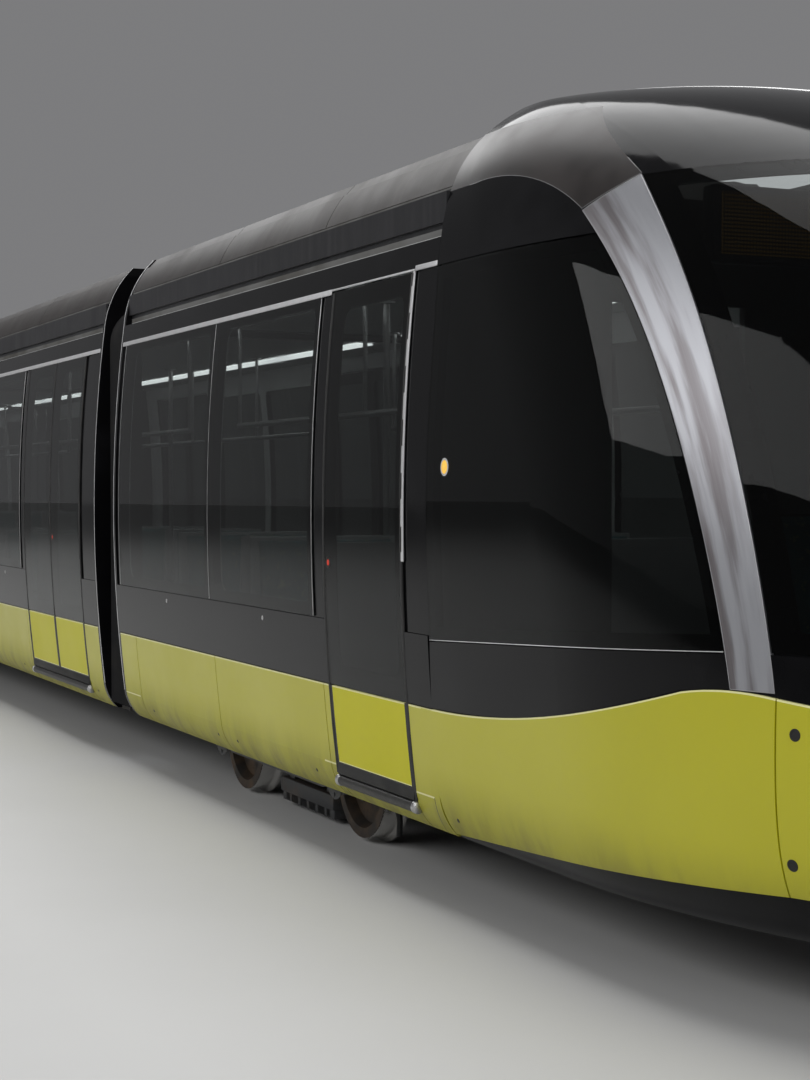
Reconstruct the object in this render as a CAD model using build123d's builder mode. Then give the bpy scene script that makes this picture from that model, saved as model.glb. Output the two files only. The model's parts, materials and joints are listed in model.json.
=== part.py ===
from build123d import *
import math
import os

# Five-section low-floor tram, standing on its wheels with the pantograph folded.
# Millimetres. +X runs along the tram towards the front cab, +Z is up, and the
# origin is under the middle of the centre car, level with the wheel flanges.

os.makedirs("parts", exist_ok=True)

# Track and running gear
gauge = 1435
flange_depth = 20
wheel_diameter = 590
wheel_width = 115
wheel_back_gap = 55
wheelbase = 1600
axle_radius = 65
journal_radius = 50
brake_disc_radius = 115
bogie_spacing = 11090
bogie_overhang = 210

# Body section
half_width = 1200
side_radius = 8800
waist_z = 1520
skirt_bottom = 305
skirt_top = 800
tuck_start = 450
tuck_depth = 60
floor_top = 400
floor_plate = 40
underframe_bottom = 280
underframe_inset = 220
glass_bottom = 1090
glass_top = 2490
wall_top = 2605
gutter_low = 2665
gutter_high = 2780
roof_deck = 2800
fairing_lip = 2950
roof_edge = 3000
shoulder_z = 2640
shoulder_radius = 620

# Sheet and wall thicknesses
glass_thick = 8
wall_thick = 50
foot_thick = 30
foot_tuck = 24
skirt_thick = 30
door_thick = 32
fairing_thick = 35
seat_gap = 0.3
panel_gap = 6
lip_step = 6

# Lengths along the tram
inner_pivot = 1900
outer_pivot = 8880
gangway = 420
body_end = 13440
end_pillar = 110
door_pillar = 140
door_leaf = 810
door_to_cab = 230
double_door = 1500
door_to_gangway = 370
last_cab_window = 1430

# Gangways: hoops round the body ends, bellows, bridge plate and coupling
hoop_depth = 40
hoop_side = 170
passage_top = 2600
bellows_inset = 100
bridge_half = 800
bridge_overlap = 150
bridge_thick = 6
bridge_lift = 5
coupling_pin_radius = 40
coupling_eye_radius = 110
coupling_clearance = 5
tongue_low = 315
tongue_high = 365

# Cab
nose_skin = 12
nose_frame = 33
nose_side_turn = 25
nose_blunt_turn = 10
cab_wall_to_end = 140
cab_wall_thick = 40
cab_door_width = 640
cab_door_height = 2000

# Bogies and the floor over them
well_half_length = 1270
wheel_box_clearance = 70
box_plate = 30
wheel_swing = 85
bogie_beam_width = 90
beam_clearance = 40
bogie_swing = 75
pivot_ring_radius = 250
boss_height = 27
deck_over_axle = 165
motor_radius = 115
motor_offset = 420

# Doors, seats and what bolts on below
sill_plate = 34
sill_rise = 12
door_clearance = 10
seat_height = 450
aisle_edge = 300
pole_radius = 17
jack_pad_radius = 90
jack_pad_height = 12
tow_bore_radius = 20
tow_ear = 25
tow_slot = 50

# Pantograph
pan_base_z = 3010
pan_pivot_x = -750
pan_knee_x = 650
pan_head_x = -560
pan_head_width = 1600
pan_tube_radius = 40
pan_rail_y = 215
knee_half = 120
knee_pin_radius = 20
head_tube_radius = 24
pan_pivot_z = pan_base_z + 40
pan_knee_z = pan_pivot_z + 60
pan_head_z = pan_knee_z + 90

# Heights and widths that follow from those above
axle_z = flange_depth + wheel_diameter / 2
wheel_back = (gauge - wheel_back_gap) / 2
bogie_beam_y = wheel_back + wheel_width + beam_clearance + bogie_beam_width / 2
raised_floor_top = axle_z + deck_over_axle
wheel_box_top = axle_z + wheel_diameter / 2 + flange_depth + wheel_box_clearance + box_plate
well_half_width = bogie_beam_y + bogie_beam_width / 2 + bogie_swing
aisle_half_width = wheel_back - wheel_swing - box_plate
sill_top = floor_top + sill_rise
door_sill = sill_top + seat_gap
ceiling_z = wall_top + seat_gap
underframe_half = half_width - underframe_inset
passage_half = half_width - hoop_side
bellows_half = half_width - bellows_inset

# Car ends and openings along the tram, in the front half
cab_start = outer_pivot + gangway / 2
middle_start = inner_pivot + gangway / 2
middle_end = outer_pivot - gangway / 2
middle_centre = (middle_start + middle_end) / 2
centre_end = inner_pivot - gangway / 2
cab_door_start = body_end - door_to_cab - door_leaf
cab_glass_end = cab_door_start - door_pillar
cab_glass_split = cab_glass_end - last_cab_window
near_door = middle_start + door_to_gangway
far_door = middle_end - door_to_gangway - double_door
middle_glass = (near_door + double_door + door_pillar, far_door - door_pillar)
cab_windows = ((cab_start + end_pillar, cab_glass_split), (cab_glass_split, cab_glass_end))
cab_doors = ((cab_door_start, cab_door_start + door_leaf),)
middle_windows = ((middle_glass[0], middle_centre), (middle_centre, middle_glass[1]))
middle_doors = ((near_door, near_door + double_door), (far_door, far_door + double_door))
centre_windows = ((end_pillar - centre_end, 0), (0, centre_end - end_pillar))
cab_skirt_seams = (cab_start + 360, cab_glass_split + 25, cab_door_start - 70)
middle_skirt_seams = (middle_glass[0] - 70, middle_centre, middle_glass[1] + 70)
centre_skirt_seams = (-centre_end / 2, centre_end / 2)


def side_y(z, inset=0.0):
    """Half-width of the barrel-shaped body side at a height, less an inset."""
    return half_width - side_radius + math.sqrt((side_radius - inset) ** 2 - (z - waist_z) ** 2)


shoulder_slope = math.asin((shoulder_z - waist_z) / side_radius)
shoulder_y = side_y(shoulder_z) - shoulder_radius * math.cos(shoulder_slope)
shoulder_centre_z = shoulder_z - shoulder_radius * math.sin(shoulder_slope)


def body_y(z, inset=0.0):
    """Half-width of the body with its rounded roof shoulder."""
    if z <= shoulder_z:
        return side_y(z, inset)
    radius = shoulder_radius - inset
    return shoulder_y + math.sqrt(radius**2 - (z - shoulder_centre_z) ** 2)


def skirt_y(z):
    """Half-width of the skirts, tucked in towards their bottom edge."""
    tuck = max(0, tuck_start - z) / (tuck_start - skirt_bottom)
    return side_y(z) - tuck_depth * tuck**2


def wall_inner_y(z):
    """Half-width inside the side walls at a height."""
    if z < tuck_start + floor_plate:
        return side_y(z, skirt_thick + foot_tuck + foot_thick)
    if z < skirt_top:
        return side_y(z, skirt_thick + seat_gap + wall_thick)
    return side_y(z, glass_thick + seat_gap + wall_thick)


def strip_faces(x, z_low, z_high, inset, thick):
    """Section of both body sides at x: a curved strip between two heights."""
    z_mid = (z_low + z_high) / 2
    with BuildSketch(Plane.YZ.offset(x)) as faces:
        with BuildLine():
            outer = ThreePointArc(*[(side_y(z, inset), z) for z in (z_low, z_mid, z_high)])
            inner = ThreePointArc(*[(side_y(z, inset + thick), z) for z in (z_low, z_mid, z_high)])
            Line(outer @ 0, inner @ 0)
            Line(outer @ 1, inner @ 1)
        make_face()
        mirror(about=Plane.YZ)
    return faces.sketch


def skirt_faces(x):
    """Section of both skirts at x: the body side, tucked in along its bottom edge."""
    side_heights = (skirt_top, (tuck_start + skirt_top) / 2, tuck_start)
    tuck_heights = (tuck_start, (tuck_start + skirt_bottom) / 2, skirt_bottom)
    with BuildSketch(Plane.YZ.offset(x)) as faces:
        with BuildLine():
            for depth in (0, skirt_thick):
                ThreePointArc(*[(side_y(z, depth), z) for z in side_heights])
                ThreePointArc(
                    (side_y(tuck_start, depth), tuck_start),
                    *[(skirt_y(z) - depth, z) for z in tuck_heights[1:]],
                )
            Line((skirt_y(skirt_bottom), skirt_bottom), (skirt_y(skirt_bottom) - skirt_thick, skirt_bottom))
            Line((side_y(skirt_top, skirt_thick), skirt_top), (side_y(skirt_top), skirt_top))
        make_face()
        mirror(about=Plane.YZ)
    return faces.sketch


def cut_side_rectangles(spans, z_low, z_high, corner):
    """Cuts rounded openings through both sides of the current part."""
    with BuildSketch(Plane.XZ) as openings:
        for x_low, x_high in spans:
            with Locations(((x_low + x_high) / 2, (z_low + z_high) / 2)):
                if corner:
                    RectangleRounded(x_high - x_low, z_high - z_low, corner)
                else:
                    Rectangle(x_high - x_low, z_high - z_low)
    extrude(openings.sketch, amount=half_width * 1.2, both=True, mode=Mode.SUBTRACT)


def shrunk(spans, margin):
    """The same spans, each made smaller by a margin at both ends."""
    return [(low + margin, high - margin) for low, high in spans]


def hoop_face(x):
    """Section of the hoop round a body end: the body's outline less the gangway passage."""
    tuck_heights = (skirt_bottom, (tuck_start + skirt_bottom) / 2, tuck_start)
    top_heights = (shoulder_z, (shoulder_z + roof_edge) / 2, roof_edge)
    with BuildSketch(Plane.YZ.offset(x)) as section:
        with BuildLine():
            ThreePointArc(*[(skirt_y(z), z) for z in tuck_heights])
            ThreePointArc(*[(side_y(z), z) for z in (tuck_start, waist_z, shoulder_z)])
            ThreePointArc(*[(body_y(z), z) for z in top_heights])
            Polyline(
                (body_y(roof_edge), roof_edge),
                (0, roof_edge),
                (0, passage_top),
                (passage_half, passage_top),
                (passage_half, skirt_bottom),
                (skirt_y(skirt_bottom), skirt_bottom),
            )
        make_face()
        with Locations((0, (roof_deck + fairing_lip) / 2)):
            Rectangle(2 * body_y(roof_edge, 2 * fairing_thick), fairing_lip - roof_deck, mode=Mode.SUBTRACT)
        mirror(about=Plane.YZ)
    return section.sketch


def build_walls(x_low, x_high, windows, doors, hoops):
    """Both side walls: outer bands, pillars and cantrail, with windows and doorways cut, and end hoops."""
    length = x_high - x_low
    backing = glass_thick + seat_gap
    # height from, height to, depth in from the body side, thickness
    strips = (
        (floor_top + seat_gap, tuck_start + floor_plate, skirt_thick + foot_tuck, foot_thick),
        (tuck_start, skirt_top, skirt_thick + seat_gap, wall_thick),
        (skirt_top, wall_top, backing, wall_thick),
        (skirt_top + panel_gap, glass_bottom - panel_gap, 0, backing + 1),
        (glass_top + panel_gap, wall_top, 0, backing + 1),
    )
    with BuildPart() as walls:
        for z_low, z_high, depth, thick in strips:
            extrude(strip_faces(x_low, z_low, z_high, depth, thick), amount=length)
        cut_side_rectangles(shrunk(windows, 60), glass_bottom + 50, glass_top - 50, 60)
        doorways = shrunk(doors, -door_clearance)
        if doorways:
            cut_side_rectangles(doorways, floor_top - floor_plate - 80, glass_top + door_clearance, 20)
        for x_hoop in hoops:
            extrude(hoop_face(x_hoop), amount=hoop_depth)
    return walls.part


def build_windows(windows, doors):
    """Bonded side glass over the pillars, and the glass of the doors."""
    panes = []
    for x_low, x_high in shrunk(windows, panel_gap / 2):
        panes.append((x_low, x_high, glass_bottom))
    for x_low, x_high in doors:
        leaves = 2 if x_high - x_low > 1000 else 1
        leaf = (x_high - x_low) / leaves
        for i in range(leaves):
            start = x_low + i * leaf
            panes.append((start + panel_gap, start + leaf - panel_gap, skirt_top + panel_gap))
    with BuildPart() as glass:
        for x_low, x_high, z_low in panes:
            extrude(strip_faces(x_low, z_low, glass_top, 0, glass_thick), amount=x_high - x_low)
    return glass.part


def build_doors(doors):
    """Door leaves: a frame round the glass, with a flush lower panel."""
    with BuildPart() as leaves:
        for x_low, x_high in doors:
            count = 2 if x_high - x_low > 1000 else 1
            leaf = (x_high - x_low) / count
            for i in range(count):
                start = x_low + i * leaf + panel_gap / 2
                length = leaf - panel_gap
                frame = strip_faces(start, door_sill, glass_top, glass_thick + seat_gap, door_thick)
                extrude(frame, amount=length)
                extrude(strip_faces(start, door_sill, skirt_top, 0, glass_thick + 1), amount=length)
                cut_side_rectangles([(start + 60, start + length - 60)], skirt_top + 90, glass_top - 80, 60)
    return leaves.part


def build_skirts(x_low, x_high, doors, seams):
    """Skirt panels between their seams and the doorways, and the low ones under the doors."""
    gaps = list(seams) + [edge for span in doors for edge in span]
    with BuildPart() as skirts:
        extrude(skirt_faces(x_low), amount=x_high - x_low)
        if doors:
            cut_side_rectangles(doors, sill_top - sill_plate - seat_gap, skirt_top + 50, 0)
        cut_side_rectangles([(x - panel_gap / 2, x + panel_gap / 2) for x in gaps], 0, skirt_top + 50, 0)
    return skirts.part


def roof_face(x):
    """Section of the roof: deck, gutters, and the raised fairings with a lip along their tops."""
    gutter_y = side_y(gutter_high)
    fairing_mid = (roof_deck + fairing_lip) / 2
    lip_mid = (fairing_lip + roof_edge) / 2
    inner_mid = (roof_deck + roof_edge) / 2
    with BuildSketch(Plane.YZ.offset(x)) as section:
        with BuildLine():
            Polyline(
                (0, ceiling_z),
                (side_y(wall_top) - 40, ceiling_z),
                (side_y(wall_top) - 40, gutter_low),
                (gutter_y, gutter_low),
                (gutter_y, gutter_high),
                (gutter_y - 25, gutter_high),
                (gutter_y - 25, roof_deck),
                (body_y(roof_deck), roof_deck),
            )
            ThreePointArc(*[(body_y(z), z) for z in (roof_deck, fairing_mid, fairing_lip)])
            Line((body_y(fairing_lip), fairing_lip), (body_y(fairing_lip, lip_step), fairing_lip))
            ThreePointArc(*[(body_y(z, lip_step), z) for z in (fairing_lip, lip_mid, roof_edge)])
            Line((body_y(roof_edge, lip_step), roof_edge), (body_y(roof_edge, fairing_thick), roof_edge))
            ThreePointArc(*[(body_y(z, fairing_thick), z) for z in (roof_edge, inner_mid, roof_deck)])
            Polyline((body_y(roof_deck, fairing_thick), roof_deck), (0, roof_deck + 15), (0, ceiling_z))
        make_face()
        mirror(about=Plane.YZ)
    return section.sketch


def build_roof(x_low, x_high, seams, units):
    """Roof of one car with its equipment covers; units: start, end, half-width, height, fans."""
    groove = 10
    chamfer_width = 90
    with BuildPart() as roof:
        extrude(roof_face(x_low), amount=x_high - x_low)
        for x_seam in seams:
            with BuildSketch(Plane.YZ.offset(x_seam - panel_gap / 2)) as strip:
                with BuildLine():
                    heights = (roof_deck + 1, (roof_deck + roof_edge) / 2, roof_edge)
                    inner = ThreePointArc(*[(body_y(z, groove), z) for z in heights])
                    outside = ((half_width, heights[0]), (half_width, roof_edge + groove))
                    Polyline(inner @ 0, *outside, inner @ 1)
                make_face()
                mirror(about=Plane.YZ)
            extrude(strip.sketch, amount=panel_gap, mode=Mode.SUBTRACT)
        for start, end, unit_half, height, fans in units:
            top = roof_deck + height
            with BuildSketch(Plane.YZ.offset(start)) as cover:
                with BuildLine():
                    Polyline(
                        (0, roof_deck - 10),
                        (unit_half, roof_deck - 10),
                        (unit_half, top - 60),
                        (unit_half - chamfer_width, top),
                        (0, top),
                        close=True,
                    )
                make_face()
                mirror(about=Plane.YZ)
            extrude(cover.sketch, amount=end - start)
            if fans:
                with BuildSketch(Plane.XY.offset(top)) as wells:
                    for i in range(fans):
                        with Locations((start + (i + 0.5) * (end - start) / fans, 0)):
                            Circle(0.36 * unit_half)
                extrude(wells.sketch, amount=-50, mode=Mode.SUBTRACT)
            # Louvre slots along both flanks of the cover
            slots = int((end - start - 200) / 90)
            pitch = (end - start - 200) / slots
            for side in (-1, 1):
                with BuildSketch(Plane.XZ.offset(side * (unit_half - 10))) as louvres:
                    for i in range(slots):
                        with Locations((start + 100 + (i + 0.5) * pitch, top - 95)):
                            Rectangle(30, 60)
                extrude(louvres.sketch, amount=side * 20, mode=Mode.SUBTRACT)
    return roof.part


def add_bogie_well(x_bogie):
    """Opens the floor over a bogie and adds the raised aisle and the wheel boxes."""
    length = 2 * well_half_length
    with BuildSketch(Plane.XY.offset(underframe_bottom)) as well:
        with Locations((x_bogie, 0)):
            Rectangle(length, 2 * well_half_width)
    extrude(well.sketch, amount=floor_top - underframe_bottom, mode=Mode.SUBTRACT)
    # The hat section runs over the bogie and its ends are closed down to the floor
    deck_low = raised_floor_top - floor_plate
    with BuildSketch(Plane.YZ.offset(x_bogie - well_half_length)) as hat:
        with BuildLine():
            Polyline(
                (0, raised_floor_top),
                (aisle_half_width, raised_floor_top),
                (aisle_half_width, wheel_box_top),
                (well_half_width, wheel_box_top),
                (well_half_width, wheel_box_top - box_plate),
                (aisle_half_width + box_plate, wheel_box_top - box_plate),
                (aisle_half_width + box_plate, deck_low),
                (0, deck_low),
                close=True,
            )
        make_face()
        mirror(about=Plane.YZ)
    extrude(hat.sketch, amount=length)
    for x_end in (x_bogie - well_half_length - box_plate, x_bogie + well_half_length):
        with BuildSketch(Plane.YZ.offset(x_end)) as closing:
            with Locations((0, (underframe_bottom + raised_floor_top) / 2)):
                Rectangle(2 * well_half_width, raised_floor_top - underframe_bottom)
            box_y = (aisle_half_width + well_half_width) / 2
            box_z = (floor_top + wheel_box_top) / 2
            with Locations((-box_y, box_z), (box_y, box_z)):
                Rectangle(well_half_width - aisle_half_width, wheel_box_top - floor_top)
        extrude(closing.sketch, amount=box_plate)
    # Outer wheel box plates, standing on the floor's edge inside the skirts
    for side in (-1, 1):
        with BuildSketch(Plane.XY.offset(floor_top - 1)) as outer_plate:
            with Locations((x_bogie, side * (well_half_width + box_plate / 2))):
                Rectangle(length + 2 * box_plate, box_plate)
        extrude(outer_plate.sketch, amount=wheel_box_top - floor_top + 1)
    # Boss that sits on the bogie's bearing ring
    with BuildSketch(Plane.XY.offset(deck_low)) as boss:
        with Locations((x_bogie, 0)):
            Circle(pivot_ring_radius)
    extrude(boss.sketch, amount=-boss_height)


def floor_slab(x_low, x_high, hoops):
    """Underframe of a car, and the wider floor plate between its end hoops."""
    plate_half = skirt_y(floor_top - floor_plate) - skirt_thick - panel_gap
    room = hoop_depth + seat_gap
    plate_low = x_low + room if x_low in hoops else x_low
    plate_high = x_high - room if x_high in hoops else x_high
    with BuildSketch(Plane.YZ.offset(plate_low)) as plate:
        with Locations((0, floor_top - floor_plate / 2)):
            Rectangle(2 * plate_half, floor_plate)
    extrude(plate.sketch, amount=plate_high - plate_low)
    with BuildSketch(Plane.YZ.offset(x_low)) as beam:
        with Locations((0, (underframe_bottom + floor_top) / 2)):
            Rectangle(2 * underframe_half, floor_top - underframe_bottom)
    extrude(beam.sketch, amount=x_high - x_low)


def add_sills(doors):
    """Step plates that reach out to the side under the doors."""
    reach = side_y(floor_top) - 4
    with BuildSketch(Plane.XY.offset(sill_top - sill_plate)) as sills:
        for start, end in doors:
            with Locations(((start + end) / 2, 0)):
                Rectangle(end - start, 2 * reach)
    extrude(sills.sketch, amount=sill_plate)


def add_jack_pads(places):
    """Round pads under the underframe where the car is lifted."""
    with BuildSketch(Plane.XY.offset(underframe_bottom)) as pads:
        for x_pad in places:
            for side in (-1, 1):
                with Locations((x_pad, side * (underframe_half - jack_pad_radius - 30))):
                    Circle(jack_pad_radius)
    extrude(pads.sketch, amount=-jack_pad_height)


def add_bridge(x_face, x_pivot):
    """Bridge plate over a gangway: fixed to this floor, lying just above the neighbour's."""
    reach = 2 * (x_pivot - x_face)
    away = math.copysign(1, x_pivot - x_face)
    root = 60
    bottom = floor_top + bridge_lift
    with BuildSketch(Plane.XY.offset(floor_top - 1)) as foot:
        with Locations((x_face - away * root / 2, 0)):
            Rectangle(root, 2 * bridge_half)
    extrude(foot.sketch, amount=bridge_lift + bridge_thick + 1)
    with BuildSketch(Plane.XY.offset(bottom)) as plate:
        with Locations((x_face + (reach + away * bridge_overlap) / 2, 0)):
            RectangleRounded(abs(reach) + bridge_overlap, 2 * bridge_half, 60)
        with Locations((x_face, 0)):
            Rectangle(120, 2 * bridge_half)
    extrude(plate.sketch, amount=bridge_thick)


def add_tongue(x_face, x_pivot):
    """Coupling tongue with an eye round the pivot."""
    with BuildSketch(Plane.XY.offset(tongue_low)) as tongue:
        with Locations(((x_face + x_pivot) / 2, 0)):
            Rectangle(abs(x_face - x_pivot), 2 * coupling_eye_radius)
        with Locations((x_pivot, 0)):
            Circle(coupling_eye_radius)
            Circle(coupling_pin_radius + seat_gap, mode=Mode.SUBTRACT)
    extrude(tongue.sketch, amount=tongue_high - tongue_low)


def add_fork(x_face, x_pivot):
    """Coupling fork above and below the tongue, with the pivot pin between its plates."""
    for z_low, z_high in (
        (underframe_bottom, tongue_low - coupling_clearance),
        (tongue_high + coupling_clearance, floor_top),
    ):
        with BuildSketch(Plane.XY.offset(z_low)) as plate:
            with Locations(((x_face + x_pivot) / 2, 0)):
                Rectangle(abs(x_face - x_pivot), 2 * coupling_eye_radius)
            with Locations((x_pivot, 0)):
                Circle(coupling_eye_radius)
        extrude(plate.sketch, amount=z_high - z_low)
    with BuildSketch(Plane.XY.offset(underframe_bottom)) as pin:
        with Locations((x_pivot, 0)):
            Circle(coupling_pin_radius)
    extrude(pin.sketch, amount=floor_top - underframe_bottom)


def seat_outline(x_back, facing, base_z, seat_z):
    """Side view of a seat: x_back is the back's rear face, facing is +1 or -1 along X."""
    points = (
        (40, base_z),
        (330, base_z),
        (380, seat_z - 90),
        (450, seat_z - 60),
        (450, seat_z),
        (110, seat_z - 15),
        (60, seat_z + 480),
        (0, seat_z + 480),
        (20, seat_z - 80),
    )
    return [(x_back + facing * x, z) for x, z in points]


def build_seats(rows, base_z, seat_z, poles):
    """Double seats from the aisle to both walls, and grab poles; rows: back, facing; poles: x, foot."""
    base = base_z + seat_gap
    width = wall_inner_y(base_z) - seat_gap - aisle_edge
    with BuildPart() as seats:
        for x_back, facing in rows:
            with BuildSketch(Plane.XZ.offset(aisle_edge)) as near:
                with BuildLine():
                    Polyline(*seat_outline(x_back, facing, base, seat_z), close=True)
                make_face()
            extrude(near.sketch, amount=width)
        for x_pole, foot_z in poles:
            with BuildSketch(Plane.XY.offset(foot_z + seat_gap)) as pole:
                with Locations((x_pole, -aisle_edge - pole_radius)):
                    Circle(pole_radius)
            extrude(pole.sketch, amount=ceiling_z - foot_z - 2 * seat_gap)
        mirror(about=Plane.XZ)
    return seats.part


# Nose of the cab, by horizontal sections ahead of the body's end
# height, tip, where the side begins to curve, half-width
nose_sections = (
    (skirt_bottom - 5, 2690, 860, skirt_y(skirt_bottom - 5)),
    (tuck_start, 2850, 960, side_y(tuck_start)),
    (900, 2910, 1010, side_y(900)),
    (1500, 2734, 877, side_y(1500)),
    (1900, 2550, 710, side_y(1900)),
    (2400, 2180, 410, side_y(2400)),
    (2750, 1710, 180, body_y(2750)),
    (2980, 1210, 120, body_y(2980)),
    (3120, 710, 80, body_y(3120)),
)
side_plane = Plane(origin=(body_end, 0, 0), x_dir=(1, 0, 0), z_dir=(0, -1, 0))


def nose_face(z, tip, start, width, inset):
    """One horizontal section of the nose: straight side, side arc, and an arc across the front.

    The side arc turns by a set angle, or by more where the section is too blunt for it.
    """
    least_turn = math.pi / 2 - 2 * math.atan((tip - start) / width)
    turn = max(math.radians(nose_side_turn), least_turn + math.radians(nose_blunt_turn))
    reach = tip - start - inset
    width = width - inset
    share = (1 - math.cos(turn)) * (1 - math.sin(turn)) - math.cos(turn) * math.sin(turn)
    side_arc = (width * (1 - math.sin(turn)) - math.cos(turn) * reach) / share
    meet = (start + side_arc * math.sin(turn), width - side_arc * (1 - math.cos(turn)))
    half = (
        start + side_arc * math.sin(turn / 2),
        width - side_arc * (1 - math.cos(turn / 2)),
    )
    back = panel_gap / 2
    with BuildSketch(Plane((body_end, 0, z))) as section:
        with BuildLine():
            Line((back, -width), (start, -width))
            ThreePointArc((start, -width), (half[0], -half[1]), (meet[0], -meet[1]))
            ThreePointArc((meet[0], -meet[1]), (tip - inset, 0), meet)
            ThreePointArc(meet, half, (start, width))
            Line((start, width), (back, width))
            Line((back, width), (back, -width))
        make_face()
    return section.sketch


def nose_solid(inset):
    """The whole nose as one solid, made smaller all round by an inset."""
    top_z, *top = nose_sections[-1]
    lower = nose_sections[:-1] + ((top_z - inset, *top),)
    with BuildPart() as nose:
        loft([nose_face(z, tip, start, width, inset) for z, tip, start, width in lower])
    return nose.part


def nose_shell(outer_inset, inner_inset):
    """The layer of the nose between two depths."""
    with BuildPart() as shell:
        add(nose_solid(outer_inset))
        add(nose_solid(inner_inset), mode=Mode.SUBTRACT)
    return shell.part


def nose_piece(shell, region):
    """The part of a shell of the nose that lies inside a region of the side view."""
    with BuildPart() as piece:
        add(shell)
        extrude(region.sketch, amount=half_width * 1.2, both=True, mode=Mode.INTERSECT)
    return piece.part


def nose_slab(inset, z_low, z_high):
    """A flat slice of the nose, made smaller all round by an inset."""
    with BuildPart() as slab:
        add(nose_solid(inset))
        with BuildSketch(Plane((body_end, 0, z_low))) as slice_area:
            Rectangle(4 * nose_end, 4 * half_width)
        extrude(slice_area.sketch, amount=z_high - z_low, mode=Mode.INTERSECT)
    return slab.part


# Outlines on the nose in the side view: distance ahead of the body's end, height
nose_end = 3010
nose_start = -100
nose_seam = 2003
nose_low_z = 1000
screen_bottom = 1168
wave_low = (nose_start, 803)
wave_rise = (760, 853)
wave_crest = (1650, 1028)
wave_top = (1810, 1046)
wave_seam = (2010, 1036)
wave_tip = (nose_end, 930)
panel_foot = ((nose_end, 470), (2010, 455), (nose_start, skirt_bottom + 5))
side_glass_low = ((nose_start, 1063), (1710, 1145))
arch_rear = ((940, 2583), (1635, 1700), (1843, 1052))
arch_front = ((1134, 2682), (1710, 1925), (1998, 1052))
hood_low = ((210, 2778), (660, 2724), (935, 2590))
hood_front_top = (660, 3005)

# Headlamps in the front view: distance from the middle, height, width, depth
lamp_y = 660
lamp_z = 690
lamp_width = 300
lamp_height = 130
lamp_from = 1500


def wave_line(shift):
    """Top edge of the coloured lower panels, moved up by a shift."""
    low, rise, crest, top, seam, tip = [
        (x, z + shift) for x, z in (wave_low, wave_rise, wave_crest, wave_top, wave_seam, wave_tip)
    ]
    ThreePointArc(low, rise, crest)
    ThreePointArc(crest, top, seam)
    Line(seam, tip)
    return low, tip


def lower_panel_region():
    """Side view of the coloured lower panels of the nose."""
    with BuildSketch(side_plane) as region:
        with BuildLine():
            low, tip = wave_line(0)
            Polyline(tip, *panel_foot, low)
        make_face()
        with Locations((nose_seam, 700)):
            Rectangle(panel_gap, 900, mode=Mode.SUBTRACT)
    return region


def lamp_prism(margin):
    """Both headlamp shapes of the front view, run along the tram, larger by a margin."""
    with BuildPart() as prism:
        with BuildSketch(Plane.YZ.offset(body_end + lamp_from)) as lamps:
            with Locations((-lamp_y, lamp_z), (lamp_y, lamp_z)):
                SlotOverall(lamp_width + 2 * margin, lamp_height + 2 * margin)
        extrude(lamps.sketch, amount=nose_end - lamp_from)
    return prism.part


def arch_region(margin):
    """Side view of the arch pillar between its two long arcs, made larger by a margin."""
    with BuildSketch(side_plane) as region:
        with BuildLine():
            rear = ThreePointArc(*arch_rear)
            front = ThreePointArc(*arch_front)
            Line(rear @ 0, front @ 0)
            Line(rear @ 1, front @ 1)
        make_face()
        if margin:
            offset(amount=margin)
    return region


def hood_region():
    """Side view of the roof hood: above the gutter line, behind the hood's front edge."""
    top = roof_edge + 5
    with BuildSketch(side_plane) as region:
        with BuildLine():
            ThreePointArc(*hood_low)
            Polyline(
                hood_low[2],
                (arch_front[0][0], arch_front[0][1] + panel_gap),
                hood_front_top,
                (nose_start, top),
                (nose_start, hood_low[0][1]),
                hood_low[0],
            )
        make_face()
    return region


def side_glass_region(margin):
    """Side view of the cab side window, made smaller by a margin."""
    (low_x, low_z), (foot_x, foot_z) = side_glass_low
    left = panel_gap + margin
    with BuildSketch(side_plane) as region:
        with BuildLine():
            rear = ThreePointArc(*[(x - panel_gap - margin, z) for x, z in arch_rear])
            foot = (arch_rear[2][0] - margin, nose_low_z)
            Polyline(rear @ 0, (left, arch_rear[0][1]), (left, nose_low_z), foot, rear @ 1)
        make_face()
        with BuildLine():
            Polyline(
                (low_x, low_z + margin),
                (foot_x + 300, foot_z + 25 + margin),
                (nose_end, glass_top - margin),
                (low_x, glass_top - margin),
                close=True,
            )
        make_face(mode=Mode.INTERSECT)
    return region


def screen_region(margin):
    """Side view of the windscreen, from the arch forwards, made smaller by a margin."""
    top = arch_front[0][1] + panel_gap - margin
    low = screen_bottom + margin
    with BuildSketch(side_plane) as region:
        with BuildLine():
            front = ThreePointArc(*[(x + panel_gap + margin, z) for x, z in arch_front])
            Polyline(front @ 0, (nose_end, arch_front[0][1]), (nose_end, nose_low_z), front @ 1)
        make_face()
        with BuildLine():
            Polyline((nose_start, low), (nose_end, low), (nose_end, top), (nose_start, top), close=True)
        make_face(mode=Mode.INTERSECT)
    return region


def skin_region():
    """Side view of all that is bonded over the nose frame, with its gaps."""
    with BuildSketch(side_plane) as region:
        with BuildLine():
            low, tip = wave_line(panel_gap)
            Polyline(tip, (nose_end, 0), (nose_start, 0), low)
        make_face()
        for piece in (
            arch_region(seat_gap),
            hood_region(),
            side_glass_region(-panel_gap),
            screen_region(-panel_gap),
        ):
            add(piece.sketch_local)
    return region


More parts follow.
